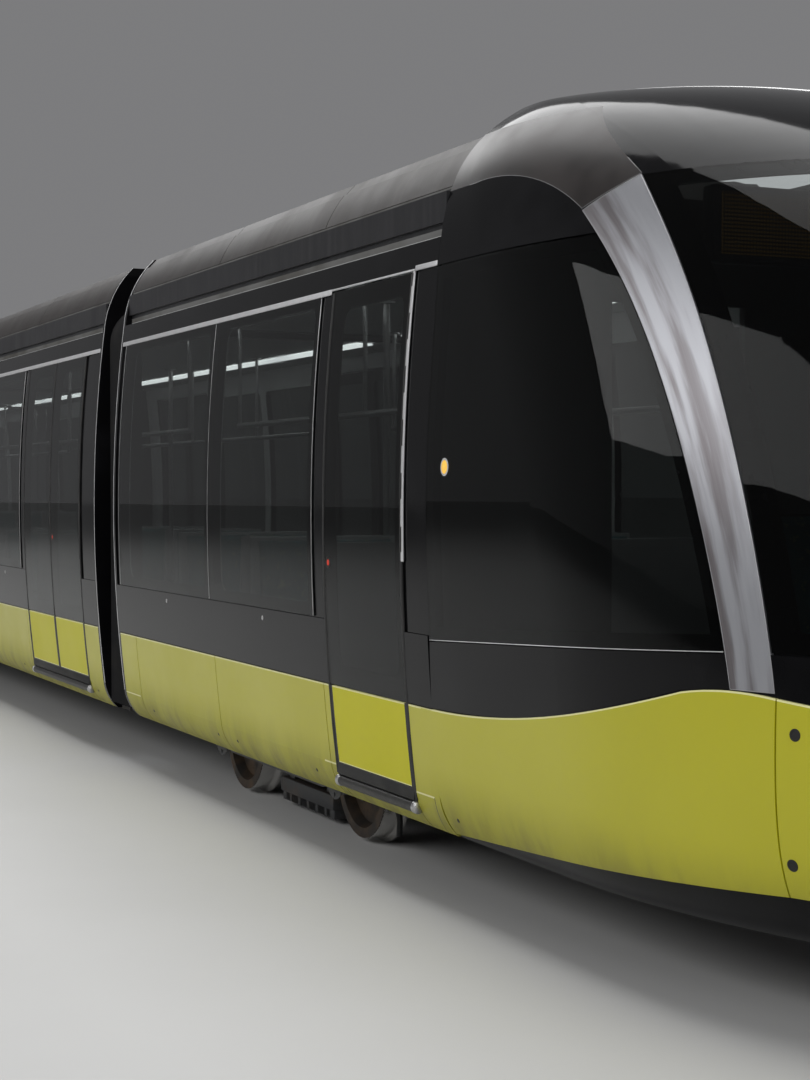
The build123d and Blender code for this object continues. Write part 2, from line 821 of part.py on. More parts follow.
def build_nose():
    """Nose pieces: frame, lower panels, arches, hoods, side glass, windscreen and headlamps."""
    wall = nose_shell(0, nose_skin + seat_gap + nose_frame)
    skin = nose_shell(0, nose_skin)
    rebate = nose_piece(nose_shell(-5, nose_skin + seat_gap), skin_region())
    with BuildPart() as frame:
        add(wall)
        add(rebate, mode=Mode.SUBTRACT)
        add(lamp_prism(seat_gap), mode=Mode.SUBTRACT)
        for opening in (side_glass_region(50), screen_region(60)):
            extrude(opening.sketch, amount=half_width * 1.2, both=True, mode=Mode.SUBTRACT)
    with BuildPart() as lamps:
        add(wall)
        add(lamp_prism(0), mode=Mode.INTERSECT)
    pieces = {"frame": frame.part, "lamps": lamps.part}
    for name, region in (
        ("panels", lower_panel_region()),
        ("arches", arch_region(0)),
        ("hood", hood_region()),
        ("side_glass", side_glass_region(0)),
        ("windscreen", screen_region(0)),
    ):
        pieces[name] = nose_piece(skin, region)
    with BuildPart() as panels:
        add(pieces["panels"])
        add(lamp_prism(panel_gap / 2), mode=Mode.SUBTRACT)
    pieces["panels"] = panels.part
    return pieces


def build_cab_interior():
    """Rear wall of the cab with its doorway, the driver's desk and the driver's seat."""
    base = floor_top + seat_gap
    wall_inset = skirt_thick + foot_tuck + foot_thick + seat_gap
    wall_heights = (base, (base + wall_top) / 2, wall_top)
    desk_half = half_width - 350
    with BuildPart() as interior:
        with BuildSketch(Plane.YZ.offset(body_end - cab_wall_to_end)) as wall:
            with BuildLine():
                edge = ThreePointArc(*[(side_y(z, wall_inset), z) for z in wall_heights])
                Polyline(edge @ 0, (0, base), (0, wall_top), edge @ 1)
            make_face()
            mirror(about=Plane.YZ)
            with Locations((0, base + cab_door_height / 2)):
                Rectangle(cab_door_width, cab_door_height + 1, mode=Mode.SUBTRACT)
        extrude(wall.sketch, amount=cab_wall_thick)
        with BuildSketch(side_plane.offset(-desk_half)) as desk:
            with BuildLine():
                Polyline(
                    (1560, base),
                    (1910, base),
                    (2040, base + 500),
                    (2040, base + 680),
                    (1680, base + 760),
                    (1410, base + 700),
                    (1410, base + 640),
                    (1560, base + 600),
                    close=True,
                )
            make_face()
        extrude(desk.sketch, amount=2 * desk_half)
        with BuildSketch(side_plane.offset(-250)) as driver_seat:
            with BuildLine():
                Polyline(
                    (810, base),
                    (1060, base),
                    (1000, base + 380),
                    (1200, base + 400),
                    (1200, base + 490),
                    (820, base + 480),
                    (690, base + 1150),
                    (590, base + 1130),
                    (710, base + 380),
                    (860, base + 380),
                    close=True,
                )
            make_face()
        extrude(driver_seat.sketch, amount=500)
    return interior.part


def build_tow_eye():
    """Towing bracket under the nose: two ears with a cross bore for the tow bar's pin."""
    plate_thick = 20
    ear_depth = 110
    tip = body_end + nose_sections[0][1] - 200
    top = underframe_bottom - seat_gap
    outer_half = tow_slot / 2 + tow_ear
    with BuildPart() as bracket:
        with BuildSketch(Plane.XY.offset(top)) as plate:
            with Locations((tip, 0)):
                RectangleRounded(220, 2 * outer_half + 100, 20)
        extrude(plate.sketch, amount=-plate_thick)
        for side in (-1, 1):
            with BuildSketch(Plane.XZ.offset(side * (tow_slot / 2 + tow_ear / 2) - tow_ear / 2)) as ear:
                with Locations((tip, top - plate_thick / 2 - ear_depth / 4)):
                    Rectangle(120, ear_depth / 2 + plate_thick)
                with Locations((tip, top - plate_thick - ear_depth / 2)):
                    Circle(60)
                    Circle(tow_bore_radius, mode=Mode.SUBTRACT)
            extrude(ear.sketch, amount=tow_ear)
        with BuildSketch(Plane.XZ) as bore:
            with Locations((tip, top - plate_thick - ear_depth / 2)):
                Circle(tow_bore_radius)
        extrude(bore.sketch, amount=outer_half, both=True, mode=Mode.SUBTRACT)
    return bracket.part


def build_floor(x_low, x_high, doors, bogies, pads, tongues, forks, hoops, nose=False):
    """Floor of one car with its sills, bogie wells, jack pads and couplings (face, pivot)."""
    with BuildPart() as floor:
        floor_slab(x_low, x_high, hoops)
        if doors:
            add_sills(doors)
        if nose:
            shell = nose_skin + nose_frame + 2 * seat_gap
            z, tip, start, width = nose_sections[0]
            add(nose_slab(shell, floor_top - floor_plate, floor_top))
            beam = nose_face(underframe_bottom, tip, start, width, 100)
            extrude(beam, amount=floor_top - underframe_bottom)
            with BuildSketch(Plane.XY.offset(underframe_bottom)) as joining:
                with Locations((body_end, 0)):
                    Rectangle(20, 2 * underframe_half - 60)
            extrude(joining.sketch, amount=floor_top - underframe_bottom)
        for x_bogie in bogies:
            add_bogie_well(x_bogie)
        add_jack_pads(pads)
        for x_face, x_pivot in tongues:
            add_tongue(x_face, x_pivot)
        for x_face, x_pivot in forks:
            add_fork(x_face, x_pivot)
            add_bridge(x_face, x_pivot)
        if nose:
            add(build_tow_eye())
    return floor.part


def wheel_outline(sign):
    """Half section of one wheel about its axle."""
    tread = wheel_diameter / 2
    rim = tread - 50
    disc = wheel_back + 65
    face = wheel_back + wheel_width
    points = (
        (wheel_back, axle_radius - 5),
        (wheel_back, axle_radius + 55),
        (disc - 25, axle_radius + 65),
        (disc - 25, rim - 25),
        (wheel_back, rim - 5),
        (wheel_back, tread + flange_depth),
        (wheel_back + 12, tread + flange_depth),
        (wheel_back + 32, tread),
        (face, tread - 4),
        (face, rim),
        (disc, rim - 20),
        (disc, axle_radius + 60),
        (face - 10, axle_radius + 45),
        (face - 10, axle_radius - 5),
    )
    return [(sign * y, axle_z + r) for y, r in points]


def build_wheelset(x_axle):
    """One axle with its two flanged wheels, the journals outside them and two brake discs."""
    disc_y = wheel_back - 160
    # distance out to the near face, thickness, radius
    discs = ((disc_y - 15, 30, brake_disc_radius), (disc_y - 40, 80, axle_radius + 30))
    with BuildPart() as wheelset:
        for sign in (-1, 1):
            with BuildSketch(Plane.YZ.offset(x_axle)) as wheel:
                with BuildLine():
                    Polyline(*wheel_outline(sign), close=True)
                make_face()
            revolve(wheel.sketch, Axis((x_axle, 0, axle_z), (0, 1, 0)))
            for y_low, thick, radius in discs:
                with BuildSketch(Plane.XZ.offset(-sign * y_low)) as disc:
                    with Locations((x_axle, axle_z)):
                        Circle(radius)
                extrude(disc.sketch, amount=-sign * thick)
        with BuildSketch(Plane.XZ) as axle:
            with Locations((x_axle, axle_z)):
                Circle(axle_radius)
        extrude(axle.sketch, amount=gauge / 2, both=True)
        with BuildSketch(Plane.XZ) as journal:
            with Locations((x_axle, axle_z)):
                Circle(journal_radius)
        extrude(journal.sketch, amount=bogie_beam_y + bogie_beam_width / 2 - 5, both=True)
    return wheelset.part


def side_beam_outline(x_bogie):
    """Side view of a bogie's side beam: deep between the axles, raised over the axle boxes."""
    reach = wheelbase / 2 + bogie_overhang
    points = (
        (-reach, axle_z - 10),
        (-reach, axle_z + 55),
        (-reach + 60, axle_z + 70),
        (reach - 60, axle_z + 70),
        (reach, axle_z + 55),
        (reach, axle_z - 10),
        (wheelbase / 2 - 160, axle_z - 70),
        (160 - wheelbase / 2, axle_z - 70),
    )
    return [(x_bogie + x, z) for x, z in points]


def build_bogie(x_bogie, driven):
    """Bogie frame outside the wheels, with axle boxes, bearing ring, track brakes and any motors."""
    beam_low = axle_z - 65
    brake_low = flange_depth + 15
    with BuildPart() as bogie:
        for side in (-1, 1):
            with BuildSketch(Plane.XZ.offset(side * bogie_beam_y - bogie_beam_width / 2)) as beam:
                with BuildLine():
                    Polyline(*side_beam_outline(x_bogie), close=True)
                make_face()
                for end in (-1, 1):
                    with Locations((x_bogie + end * wheelbase / 2, axle_z)):
                        RectangleRounded(230, 150, 40)
            extrude(beam.sketch, amount=bogie_beam_width)
            # Track brake on its hangers
            with BuildSketch(Plane.XY.offset(brake_low)) as brake:
                with Locations((x_bogie, side * gauge / 2)):
                    RectangleRounded(640, 80, 20)
            extrude(brake.sketch, amount=75)
            with BuildSketch(Plane.XY.offset(brake_low + 65)) as hangers:
                with Locations(*[(x_bogie + end * 250, side * gauge / 2) for end in (-1, 1)]):
                    Rectangle(60, 50)
            extrude(hangers.sketch, amount=beam_low + 90 - brake_low - 65)
        for end in (-1, 1):
            with BuildSketch(Plane.XY.offset(beam_low)) as cross:
                with Locations((x_bogie + end * 250, 0)):
                    Rectangle(130, 2 * bogie_beam_y)
            extrude(cross.sketch, amount=100)
            if driven:
                with BuildSketch(Plane.XZ) as motor:
                    with Locations((x_bogie + end * motor_offset, axle_z - 25)):
                        Circle(motor_radius)
                extrude(motor.sketch, amount=320, both=True)
                gear_x = x_bogie + end * (motor_offset + wheelbase / 2) / 2
                with BuildSketch(Plane.XZ.offset(-90)) as gearbox:
                    with Locations((gear_x, axle_z - 10)):
                        RectangleRounded(wheelbase / 2 - motor_offset + 260, 200, 80)
                extrude(gearbox.sketch, amount=180)
        with BuildSketch(Plane.XY.offset(beam_low)) as ring:
            with Locations((x_bogie, 0)):
                Circle(pivot_ring_radius)
        extrude(ring.sketch, amount=raised_floor_top - floor_plate - boss_height - seat_gap - beam_low)
        for end in (-1, 1):
            for radius, reach in ((journal_radius + 1, half_width), (axle_radius + 8, gauge / 4)):
                with BuildSketch(Plane.XZ) as hole:
                    with Locations((x_bogie + end * wheelbase / 2, axle_z)):
                        Circle(radius)
                extrude(hole.sketch, amount=reach, both=True, mode=Mode.SUBTRACT)
    return bogie.part


def bar_between(x_a, z_a, x_b, z_b, radius, y):
    """Round bar in the side view from one point to another."""
    direction = Vector(x_b - x_a, 0, z_b - z_a)
    with BuildSketch(Plane(origin=(x_a, y, z_a), z_dir=direction)) as end:
        Circle(radius)
    extrude(end.sketch, amount=direction.length)


def build_pantograph():
    """Folded single-arm pantograph: lower arm, upper arm and head, hinged in a row."""
    with BuildPart() as lower:
        bar_between(pan_pivot_x, pan_pivot_z, pan_knee_x, pan_knee_z, 35, 0)
        with BuildSketch(Plane.XZ) as pivot_tube:
            with Locations((pan_pivot_x, pan_pivot_z)):
                Circle(pan_tube_radius)
        extrude(pivot_tube.sketch, amount=240, both=True)
        with BuildSketch(Plane.XZ) as knee_tube:
            with Locations((pan_knee_x, pan_knee_z)):
                Circle(pan_tube_radius)
        extrude(knee_tube.sketch, amount=knee_half, both=True)
        with BuildSketch(Plane.XZ) as knee_bore:
            with Locations((pan_knee_x, pan_knee_z)):
                Circle(knee_pin_radius + seat_gap)
        extrude(knee_bore.sketch, amount=2 * knee_half, both=True, mode=Mode.SUBTRACT)
    with BuildPart() as upper:
        for side in (-1, 1):
            bar_between(pan_knee_x, pan_knee_z, pan_head_x, pan_head_z, 20, side * 160)
            with BuildSketch(Plane.XZ.offset(side * (knee_half + seat_gap + 25) - 25)) as knee_eye:
                with Locations((pan_knee_x, pan_knee_z)):
                    Circle(42)
            extrude(knee_eye.sketch, amount=50)
        with BuildSketch(Plane.XZ) as knee_pin:
            with Locations((pan_knee_x, pan_knee_z)):
                Circle(knee_pin_radius)
        extrude(knee_pin.sketch, amount=knee_half + 40, both=True)
        with BuildSketch(Plane.XZ) as head_tube:
            with Locations((pan_head_x, pan_head_z)):
                Circle(head_tube_radius)
        extrude(head_tube.sketch, amount=240, both=True)
    with BuildPart() as head:
        for side in (-1, 1):
            with BuildSketch(Plane.XZ.offset(side * 225 - 15)) as cheek:
                with Locations((pan_head_x, pan_head_z + 20)):
                    Rectangle(360, 90)
                with Locations((pan_head_x, pan_head_z)):
                    Circle(head_tube_radius + seat_gap, mode=Mode.SUBTRACT)
            extrude(cheek.sketch, amount=30)
            for end in (-1, 1):
                horn_start = Vector(pan_head_x + end * 160, side * 790, pan_head_z + 80)
                horn_end = horn_start + Vector(0, side * 180, -110)
                with BuildSketch(Plane(origin=horn_start, z_dir=horn_end - horn_start)) as horn:
                    Circle(16)
                extrude(horn.sketch, amount=(horn_end - horn_start).length)
        for end in (-1, 1):
            with BuildSketch(Plane.XZ) as strip:
                with Locations((pan_head_x + end * 160, pan_head_z + 80)):
                    Rectangle(40, 40)
            extrude(strip.sketch, amount=pan_head_width / 2, both=True)
    return lower.part, upper.part, head.part


def add_pantograph_base():
    """Base frame of the pantograph on its insulators, with the bearings of the lower arm."""
    for x in (pan_pivot_x - 120, pan_knee_x):
        for side in (-1, 1):
            with BuildSketch(Plane.XY.offset(roof_deck)) as insulator:
                with Locations((x, side * 420)):
                    Circle(45)
            extrude(insulator.sketch, amount=pan_base_z - roof_deck - 40)
        with BuildSketch(Plane.XY.offset(pan_base_z - 70)) as cross:
            with Locations((x, 0)):
                Rectangle(80, 1000)
        extrude(cross.sketch, amount=50)
    for side in (-1, 1):
        with BuildSketch(Plane.XY.offset(pan_base_z - 70)) as rail:
            with Locations(((pan_pivot_x + pan_knee_x) / 2, side * pan_rail_y)):
                Rectangle(pan_knee_x - pan_pivot_x + 300, 60)
        extrude(rail.sketch, amount=50)
        with BuildSketch(Plane.XZ.offset(side * pan_rail_y - 30)) as bearing:
            with Locations((pan_pivot_x, pan_base_z + 10)):
                Rectangle(120, 150)
            with Locations((pan_pivot_x, pan_pivot_z)):
                Circle(pan_tube_radius + seat_gap, mode=Mode.SUBTRACT)
        extrude(bearing.sketch, amount=60)


def build_bellows(x_pivots):
    """Gangway bellows round the passage at each end of a middle car."""
    length = gangway - 2 * seat_gap
    points = (
        (0, gutter_high - 10),
        (bellows_half - 150, gutter_high - 10),
        (bellows_half, gutter_high - 180),
        (bellows_half, tuck_start + 10),
        (bellows_half - 50, skirt_bottom + 40),
        (passage_half, skirt_bottom + 40),
        (passage_half, passage_top),
        (0, passage_top),
    )
    with BuildPart() as bellows:
        for x_pivot in x_pivots:
            with BuildSketch(Plane.YZ.offset(x_pivot - length / 2)) as ring:
                with BuildLine():
                    Polyline(*points, close=True)
                make_face()
                mirror(about=Plane.YZ)
            extrude(ring.sketch, amount=length)
    return bellows.part


def write(name, part):
    part.label = name
    export_step(part, f"parts/{name}.step")


nose = build_nose()
hoop_room = hoop_depth + seat_gap
cab_low = cab_start + hoop_room
cab_high = body_end - panel_gap / 2
middle_low = middle_start + hoop_room
middle_high = middle_end - hoop_room
centre_low = hoop_room - centre_end
centre_high = centre_end - hoop_room
middle_hoops = (middle_start, middle_end - hoop_depth)
centre_hoops = (-centre_end, centre_end - hoop_depth)
bogie_rows = ((-1100, 1), (-50, -1), (50, 1), (1100, -1))
middle_rows = ((-1190, 1), (-100, -1), (100, 1), (1190, -1))
bogie_seat_z = wheel_box_top + seat_height - 250
cab_pads = (cab_start + 400, body_end - 750)
middle_pads = (middle_glass[0] + 100, middle_glass[1] - 100)
centre_pads = (300 - centre_end, centre_end - 300)

# Roof equipment covers: start, end, half-width, height, fans
cab_units = (
    (cab_start + 310, cab_start + 2210, 760, 230, 2),
    (body_end - 1840, body_end - 440, 700, 180, 0),
)
middle_units = (
    (middle_start + 890, middle_start + 2890, 760, 230, 2),
    (middle_end - 2870, middle_end - 1070, 700, 200, 0),
)
centre_units = ((-1500, -1150, 600, 150, 0),)

with BuildPart() as cab_skirts:
    add(build_skirts(cab_low, cab_high, cab_doors, cab_skirt_seams))
    add(nose["panels"])

with BuildPart() as cab_glass:
    add(build_windows(cab_windows, cab_doors))
    add(nose["side_glass"])

cab_pieces = {
    "walls": build_walls(cab_low, cab_high, cab_windows, cab_doors, (cab_start,)),
    "roof": build_roof(cab_low, cab_high, (cab_start + 1610, cab_start + 3060), cab_units),
    "floor": build_floor(
        cab_start,
        body_end,
        cab_doors,
        (bogie_spacing,),
        cab_pads,
        (),
        ((cab_start, outer_pivot),),
        (cab_start,),
        True,
    ),
    "skirts": cab_skirts.part,
    "windows": cab_glass.part,
    "doors": build_doors(cab_doors),
    "seats": build_seats(
        [(bogie_spacing + x, facing) for x, facing in bogie_rows],
        wheel_box_top,
        bogie_seat_z,
        ((bogie_spacing, raised_floor_top),),
    ),
    "cab_interior": build_cab_interior(),
    "nose_frame": nose["frame"],
    "arches": nose["arches"],
    "hoods": nose["hood"],
    "windscreen": nose["windscreen"],
    "lamps": nose["lamps"],
}
middle_pieces = {
    "walls": build_walls(middle_low, middle_high, middle_windows, middle_doors, middle_hoops),
    "roof": build_roof(
        middle_low, middle_high, (middle_centre - 1400, middle_centre + 1400), middle_units
    ),
    "floor": build_floor(
        middle_start,
        middle_end,
        middle_doors,
        (),
        middle_pads,
        ((middle_start, inner_pivot), (middle_end, outer_pivot)),
        (),
        (middle_start, middle_end),
    ),
    "skirts": build_skirts(middle_low, middle_high, middle_doors, middle_skirt_seams),
    "windows": build_windows(middle_windows, middle_doors),
    "doors": build_doors(middle_doors),
    "seats": build_seats(
        [(middle_centre + x, facing) for x, facing in middle_rows],
        floor_top,
        floor_top + seat_height,
        ((middle_centre, floor_top),),
    ),
    "bellows": build_bellows((inner_pivot, outer_pivot)),
}
for kind, pieces in (("car", cab_pieces), ("middle", middle_pieces)):
    for name, part in pieces.items():
        for end in ("front", "rear"):
            with BuildPart() as placed:
                if end == "front":
                    add(part)
                else:
                    add(part.mirror(Plane.YZ))
            prefix = end if kind == "car" else end + "_middle"
            write(f"{prefix}_{name}", placed.part)

with BuildPart() as centre_roof:
    add(build_roof(centre_low, centre_high, (), centre_units))
    add_pantograph_base()
lower_arm, upper_arm, pan_head = build_pantograph()
centre_pieces = {
    "centre_walls": build_walls(centre_low, centre_high, centre_windows, (), centre_hoops),
    "centre_roof": centre_roof.part,
    "centre_floor": build_floor(
        -centre_end,
        centre_end,
        (),
        (0,),
        centre_pads,
        (),
        ((-centre_end, -inner_pivot), (centre_end, inner_pivot)),
        (-centre_end, centre_end),
    ),
    "centre_skirts": build_skirts(centre_low, centre_high, (), centre_skirt_seams),
    "centre_windows": build_windows(centre_windows, ()),
    "centre_seats": build_seats(bogie_rows, wheel_box_top, bogie_seat_z, ()),
    "pantograph_lower_arm": lower_arm,
    "pantograph_upper_arm": upper_arm,
    "pantograph_head": pan_head,
}
for name, part in centre_pieces.items():
    write(name, part)

bogies = (("front", bogie_spacing, True), ("centre", 0, False), ("rear", -bogie_spacing, True))
for name, x_bogie, driven in bogies:
    write(f"{name}_bogie_frame", build_bogie(x_bogie, driven))
    for place, offset in (("leading", wheelbase / 2), ("trailing", -wheelbase / 2)):
        write(f"{name}_{place}_wheelset", build_wheelset(x_bogie + offset))
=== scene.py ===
import json
import math

import bpy
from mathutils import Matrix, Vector

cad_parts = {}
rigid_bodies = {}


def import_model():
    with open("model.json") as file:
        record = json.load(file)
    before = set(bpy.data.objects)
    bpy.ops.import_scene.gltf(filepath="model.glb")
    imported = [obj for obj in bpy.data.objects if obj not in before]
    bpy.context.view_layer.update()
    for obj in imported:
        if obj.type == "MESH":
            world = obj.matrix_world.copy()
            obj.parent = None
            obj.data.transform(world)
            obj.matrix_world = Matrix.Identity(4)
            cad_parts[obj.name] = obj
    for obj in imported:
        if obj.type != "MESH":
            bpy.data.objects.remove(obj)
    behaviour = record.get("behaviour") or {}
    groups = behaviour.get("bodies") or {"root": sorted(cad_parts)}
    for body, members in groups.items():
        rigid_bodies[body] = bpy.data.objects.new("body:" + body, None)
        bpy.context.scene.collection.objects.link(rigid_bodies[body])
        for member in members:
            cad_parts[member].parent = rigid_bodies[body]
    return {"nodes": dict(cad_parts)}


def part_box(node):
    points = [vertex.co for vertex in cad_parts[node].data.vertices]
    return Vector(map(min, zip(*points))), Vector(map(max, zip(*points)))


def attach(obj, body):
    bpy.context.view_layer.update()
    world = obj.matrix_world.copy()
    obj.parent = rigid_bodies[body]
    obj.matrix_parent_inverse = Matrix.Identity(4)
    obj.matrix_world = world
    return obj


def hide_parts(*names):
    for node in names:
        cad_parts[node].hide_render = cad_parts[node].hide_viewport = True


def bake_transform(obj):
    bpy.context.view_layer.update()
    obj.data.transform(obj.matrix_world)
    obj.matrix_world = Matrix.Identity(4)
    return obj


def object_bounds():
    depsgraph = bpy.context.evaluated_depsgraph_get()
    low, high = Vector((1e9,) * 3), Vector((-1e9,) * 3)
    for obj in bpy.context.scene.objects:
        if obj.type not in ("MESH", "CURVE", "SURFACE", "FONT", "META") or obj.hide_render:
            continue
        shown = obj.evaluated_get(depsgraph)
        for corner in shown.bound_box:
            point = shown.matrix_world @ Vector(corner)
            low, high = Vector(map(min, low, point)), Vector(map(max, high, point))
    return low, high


# Low-floor articulated tram in lime and black, standing folded and closed as it parks.
# Metres. +X runs along the tram towards the photographed cab, and +Z is up.
# Both ends and both sides are alike, so most pieces are made once on the near side
# of the front half and mirrored.
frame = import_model()
nodes = frame["nodes"]
cad_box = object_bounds()
bpy.ops.object.select_all(action="DESELECT")

# Camera
# A person's eye height beside the front door, looking back along the tram's side.
# It was worked out from the photo's vanishing point and horizon.
eye = Vector((19.968, -4.247, 1.64))
turn_from_tram = math.radians(24.41)
look_down = math.radians(1.51)
bpy.ops.object.camera_add(location=eye)
camera = bpy.context.object
camera.rotation_euler = (math.pi / 2 - look_down, 0, math.pi / 2 - turn_from_tram)
camera.data.sensor_width = 36
camera.data.lens = 63.1
camera.data.clip_end = 1000
bpy.context.scene.camera = camera
bpy.context.scene.view_settings.view_transform = "Standard"


class Value:
    """A shader socket that takes part in Python arithmetic."""

    def __init__(self, finish, socket):
        self.finish = finish
        self.socket = socket

    def maths(self, operation, first, second=0.0):
        return self.finish.add("ShaderNodeMath", {"operation": operation}, {0: first, 1: second})

    def __add__(self, other):
        return self.maths("ADD", self, other)

    def __sub__(self, other):
        return self.maths("SUBTRACT", self, other)

    def __rsub__(self, other):
        return self.maths("SUBTRACT", other, self)

    def __mul__(self, other):
        return self.maths("MULTIPLY", self, other)

    def __gt__(self, other):
        return self.maths("GREATER_THAN", self, other)

    def __lt__(self, other):
        return self.maths("LESS_THAN", self, other)

    def __pow__(self, other):
        return self.maths("POWER", self, other)

    def __mod__(self, other):
        return self.maths("FLOORED_MODULO", self, other)

    __radd__ = __add__
    __rmul__ = __mul__

    def size(self):
        return self.maths("ABSOLUTE", self)

    def either(self, other):
        """The larger of two masks."""
        return self.maths("MAXIMUM", self, other)

    def near(self, value, reach):
        """1 where the value lies within a reach of a number."""
        return (self - value).size() < reach

    def ramp(self, low, high):
        """0 below low, 1 above high, smooth between them."""
        settings = {"interpolation_type": "SMOOTHSTEP"}
        sockets = {"Value": self, "From Min": low, "From Max": high}
        return self.finish.add("ShaderNodeMapRange", settings, sockets)


class Finish:
    """One material: a Principled surface and the nodes that feed it."""

    def __init__(self, name, **sockets):
        self.material = bpy.data.materials.new(name)
        self.material.use_nodes = True
        self.tree = self.material.node_tree
        self.surface = self.tree.nodes["Principled BSDF"]
        self.put(**sockets)

    def add(self, kind, settings, sockets, output=0):
        """Adds a node with its settings and sockets, and gives one of its outputs."""
        node = self.tree.nodes.new(kind)
        for key, value in settings.items():
            setattr(node, key, value)
        for key, value in sockets.items():
            self.feed(node.inputs[key], value)
        return Value(self, node.outputs[output])

    def feed(self, socket, value):
        if isinstance(value, Value):
            self.tree.links.new(value.socket, socket)
        elif hasattr(value, "__len__") and len(value) == 3 and socket.type == "RGBA":
            socket.default_value = (*value, 1)
        else:
            socket.default_value = value

    def put(self, **sockets):
        """Sets Principled sockets by name, with _ for a space."""
        for key, value in sockets.items():
            name = key.replace("_", " ").title().replace("Ior", "IOR")
            self.feed(self.surface.inputs[name], value)

    def place(self, axis=None):
        """Where the surface is, in metres along the tram's axes, whole or one axis of it."""
        where = self.add("ShaderNodeTexCoord", {}, {}, "Object")
        if axis is None:
            return where
        return self.add("ShaderNodeSeparateXYZ", {}, {0: where}, axis)

    def facing(self, axis):
        """How far the surface faces along an axis, from -1 to 1."""
        normal = self.add("ShaderNodeNewGeometry", {}, {}, "Normal")
        return self.add("ShaderNodeSeparateXYZ", {}, {0: normal}, axis)

    def noise(self, scale, detail=4.0, stretch=(1, 1, 1)):
        """Soft noise, with stretch as how fast it runs along each axis."""
        where = self.add("ShaderNodeMapping", {}, {"Vector": self.place(), "Scale": stretch})
        sockets = {"Vector": where, "Scale": scale, "Detail": detail, "Roughness": 0.55}
        return self.add("ShaderNodeTexNoise", {}, sockets)

    def blend(self, share, low, high):
        """Mixes two colours by a share from 0 to 1."""
        return self.add("ShaderNodeMix", {"data_type": "RGBA"}, {0: share, 6: low, 7: high}, 2)

    def bump(self, height, distance):
        self.put(normal=self.add("ShaderNodeBump", {}, {"Height": height, "Distance": distance}))


def clouded(name, low, high, scale, detail=4.0, ramp=None, rough=None, grain=None, glow=None, **sockets):
    """A finish that wanders between two colours by soft noise.

    Ramp narrows the noise. Rough is the least roughness and what the noise adds to it. Grain is
    the scale, height and detail of fine bumps. Glow is a pair of colours of emitted light.
    """
    finish = Finish(name, **sockets)
    cloud = finish.noise(scale, detail=detail)
    if ramp:
        cloud = cloud.ramp(*ramp)
    finish.put(base_color=finish.blend(cloud, low, high))
    if rough:
        finish.put(roughness=rough[0] + rough[1] * cloud)
    if grain:
        finish.bump(finish.noise(grain[0], detail=grain[2]), grain[1])
    if glow:
        finish.put(emission_color=finish.blend(cloud, *glow))
    return finish


# Studio floor and lamps
# A pale matt floor level with the wheel flanges, a soft grey surround, and wide overhead lamps.
floor_size = 600
bpy.ops.mesh.primitive_plane_add(size=floor_size, location=(0, 0, cad_box[0].z))
studio_floor = bpy.context.object
studio_floor.name = "studio_floor"
floor_finish = clouded("studio_floor", (0.5, 0.5, 0.495), (0.56, 0.56, 0.555), 0.6, 6, roughness=0.7)
studio_floor.data.materials.append(floor_finish.material)

world = bpy.data.worlds.new("studio")
bpy.context.scene.world = world
world.use_nodes = True
surround = world.node_tree.nodes["Background"]
surround.inputs["Color"].default_value = (0.2, 0.2, 0.205, 1)
surround.inputs["Strength"].default_value = 1.0

# Place, size along and across, power, and the point each lamp faces
lamps = (
    ((0, 0, 14), (44, 10), 3600, (0, 0, 0)),
    ((12, -16, 9), (26, 6), 1300, (9, 0, 1.5)),
    ((-10, 18, 9), (30, 6), 1300, (-4, 0, 1.5)),
    ((30, -3, 7), (8, 6), 500, (15, 0, 1.5)),
)
for place, (along, across), power, target in lamps:
    bpy.ops.object.light_add(type="AREA", location=place)
    lamp = bpy.context.object
    lamp.data.shape = "RECTANGLE"
    lamp.data.size = along
    lamp.data.size_y = across
    lamp.data.energy = power
    lamp.rotation_euler = (Vector(target) - Vector(place)).to_track_quat("-Z", "Y").to_euler()

# Bogies and wheelsets
# Welded steel bogie frames in dark grey paint under brake dust, and forged wheels whose treads
# are rubbed bright. Track brakes hang between the wheels, and bolted covers close the axle boxes.
cars = ("front", "front_middle", "centre", "rear_middle", "rear")
bogies = ("front_bogie", "centre_bogie", "rear_bogie")


def middle_of(node, axis):
    """The middle of a CAD node's box along an axis."""
    low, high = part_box(node)
    return (low[axis] + high[axis]) / 2


bogie_x = middle_of("front_bogie_frame", 0)
axle_x = middle_of("centre_leading_wheelset", 0)
axle_z = middle_of("centre_leading_wheelset", 2)
tread_radius = axle_z - 0.02
beam_outer_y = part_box("centre_bogie_frame")[1].y


def only(*pieces):
    """Selects these objects alone, with the last of them active."""
    bpy.ops.object.select_all(action="DESELECT")
    for piece in pieces:
        piece.select_set(True)
    bpy.context.view_layer.objects.active = pieces[-1]


def edit():
    """Opens the active piece for editing, with all of it selected."""
    bpy.ops.object.mode_set(mode="EDIT")
    bpy.ops.mesh.select_all(action="SELECT")


def extrude(move):
    """Extrudes what is selected along a move."""
    bpy.ops.mesh.extrude_region_move(TRANSFORM_OT_translate={"value": move})


def weld(reach=0.0001):
    """Merges points of the edited piece within a reach of each other."""
    bpy.ops.mesh.select_all(action="SELECT")
    bpy.ops.mesh.remove_doubles(threshold=reach)


def close():
    """Turns the edited piece's faces outward and ends its editing."""
    bpy.ops.mesh.select_all(action="SELECT")
    bpy.ops.mesh.normals_make_consistent(inside=False)
    bpy.ops.object.mode_set(mode="OBJECT")
    return bpy.context.object


def modify(piece, kind, **settings):
    """Applies one modifier to a piece."""
    only(piece)
    modifier = piece.modifiers.new("shaping", kind)
    for key, value in settings.items():
        setattr(modifier, key, value)
    bpy.ops.object.modifier_apply(modifier="shaping")


def paint(finish, *names):
    """Gives CAD nodes a finish in place of their plain one."""
    for name in names:
        for slot in nodes[name].material_slots:
            slot.material = finish.material


smooth_below = math.radians(35)


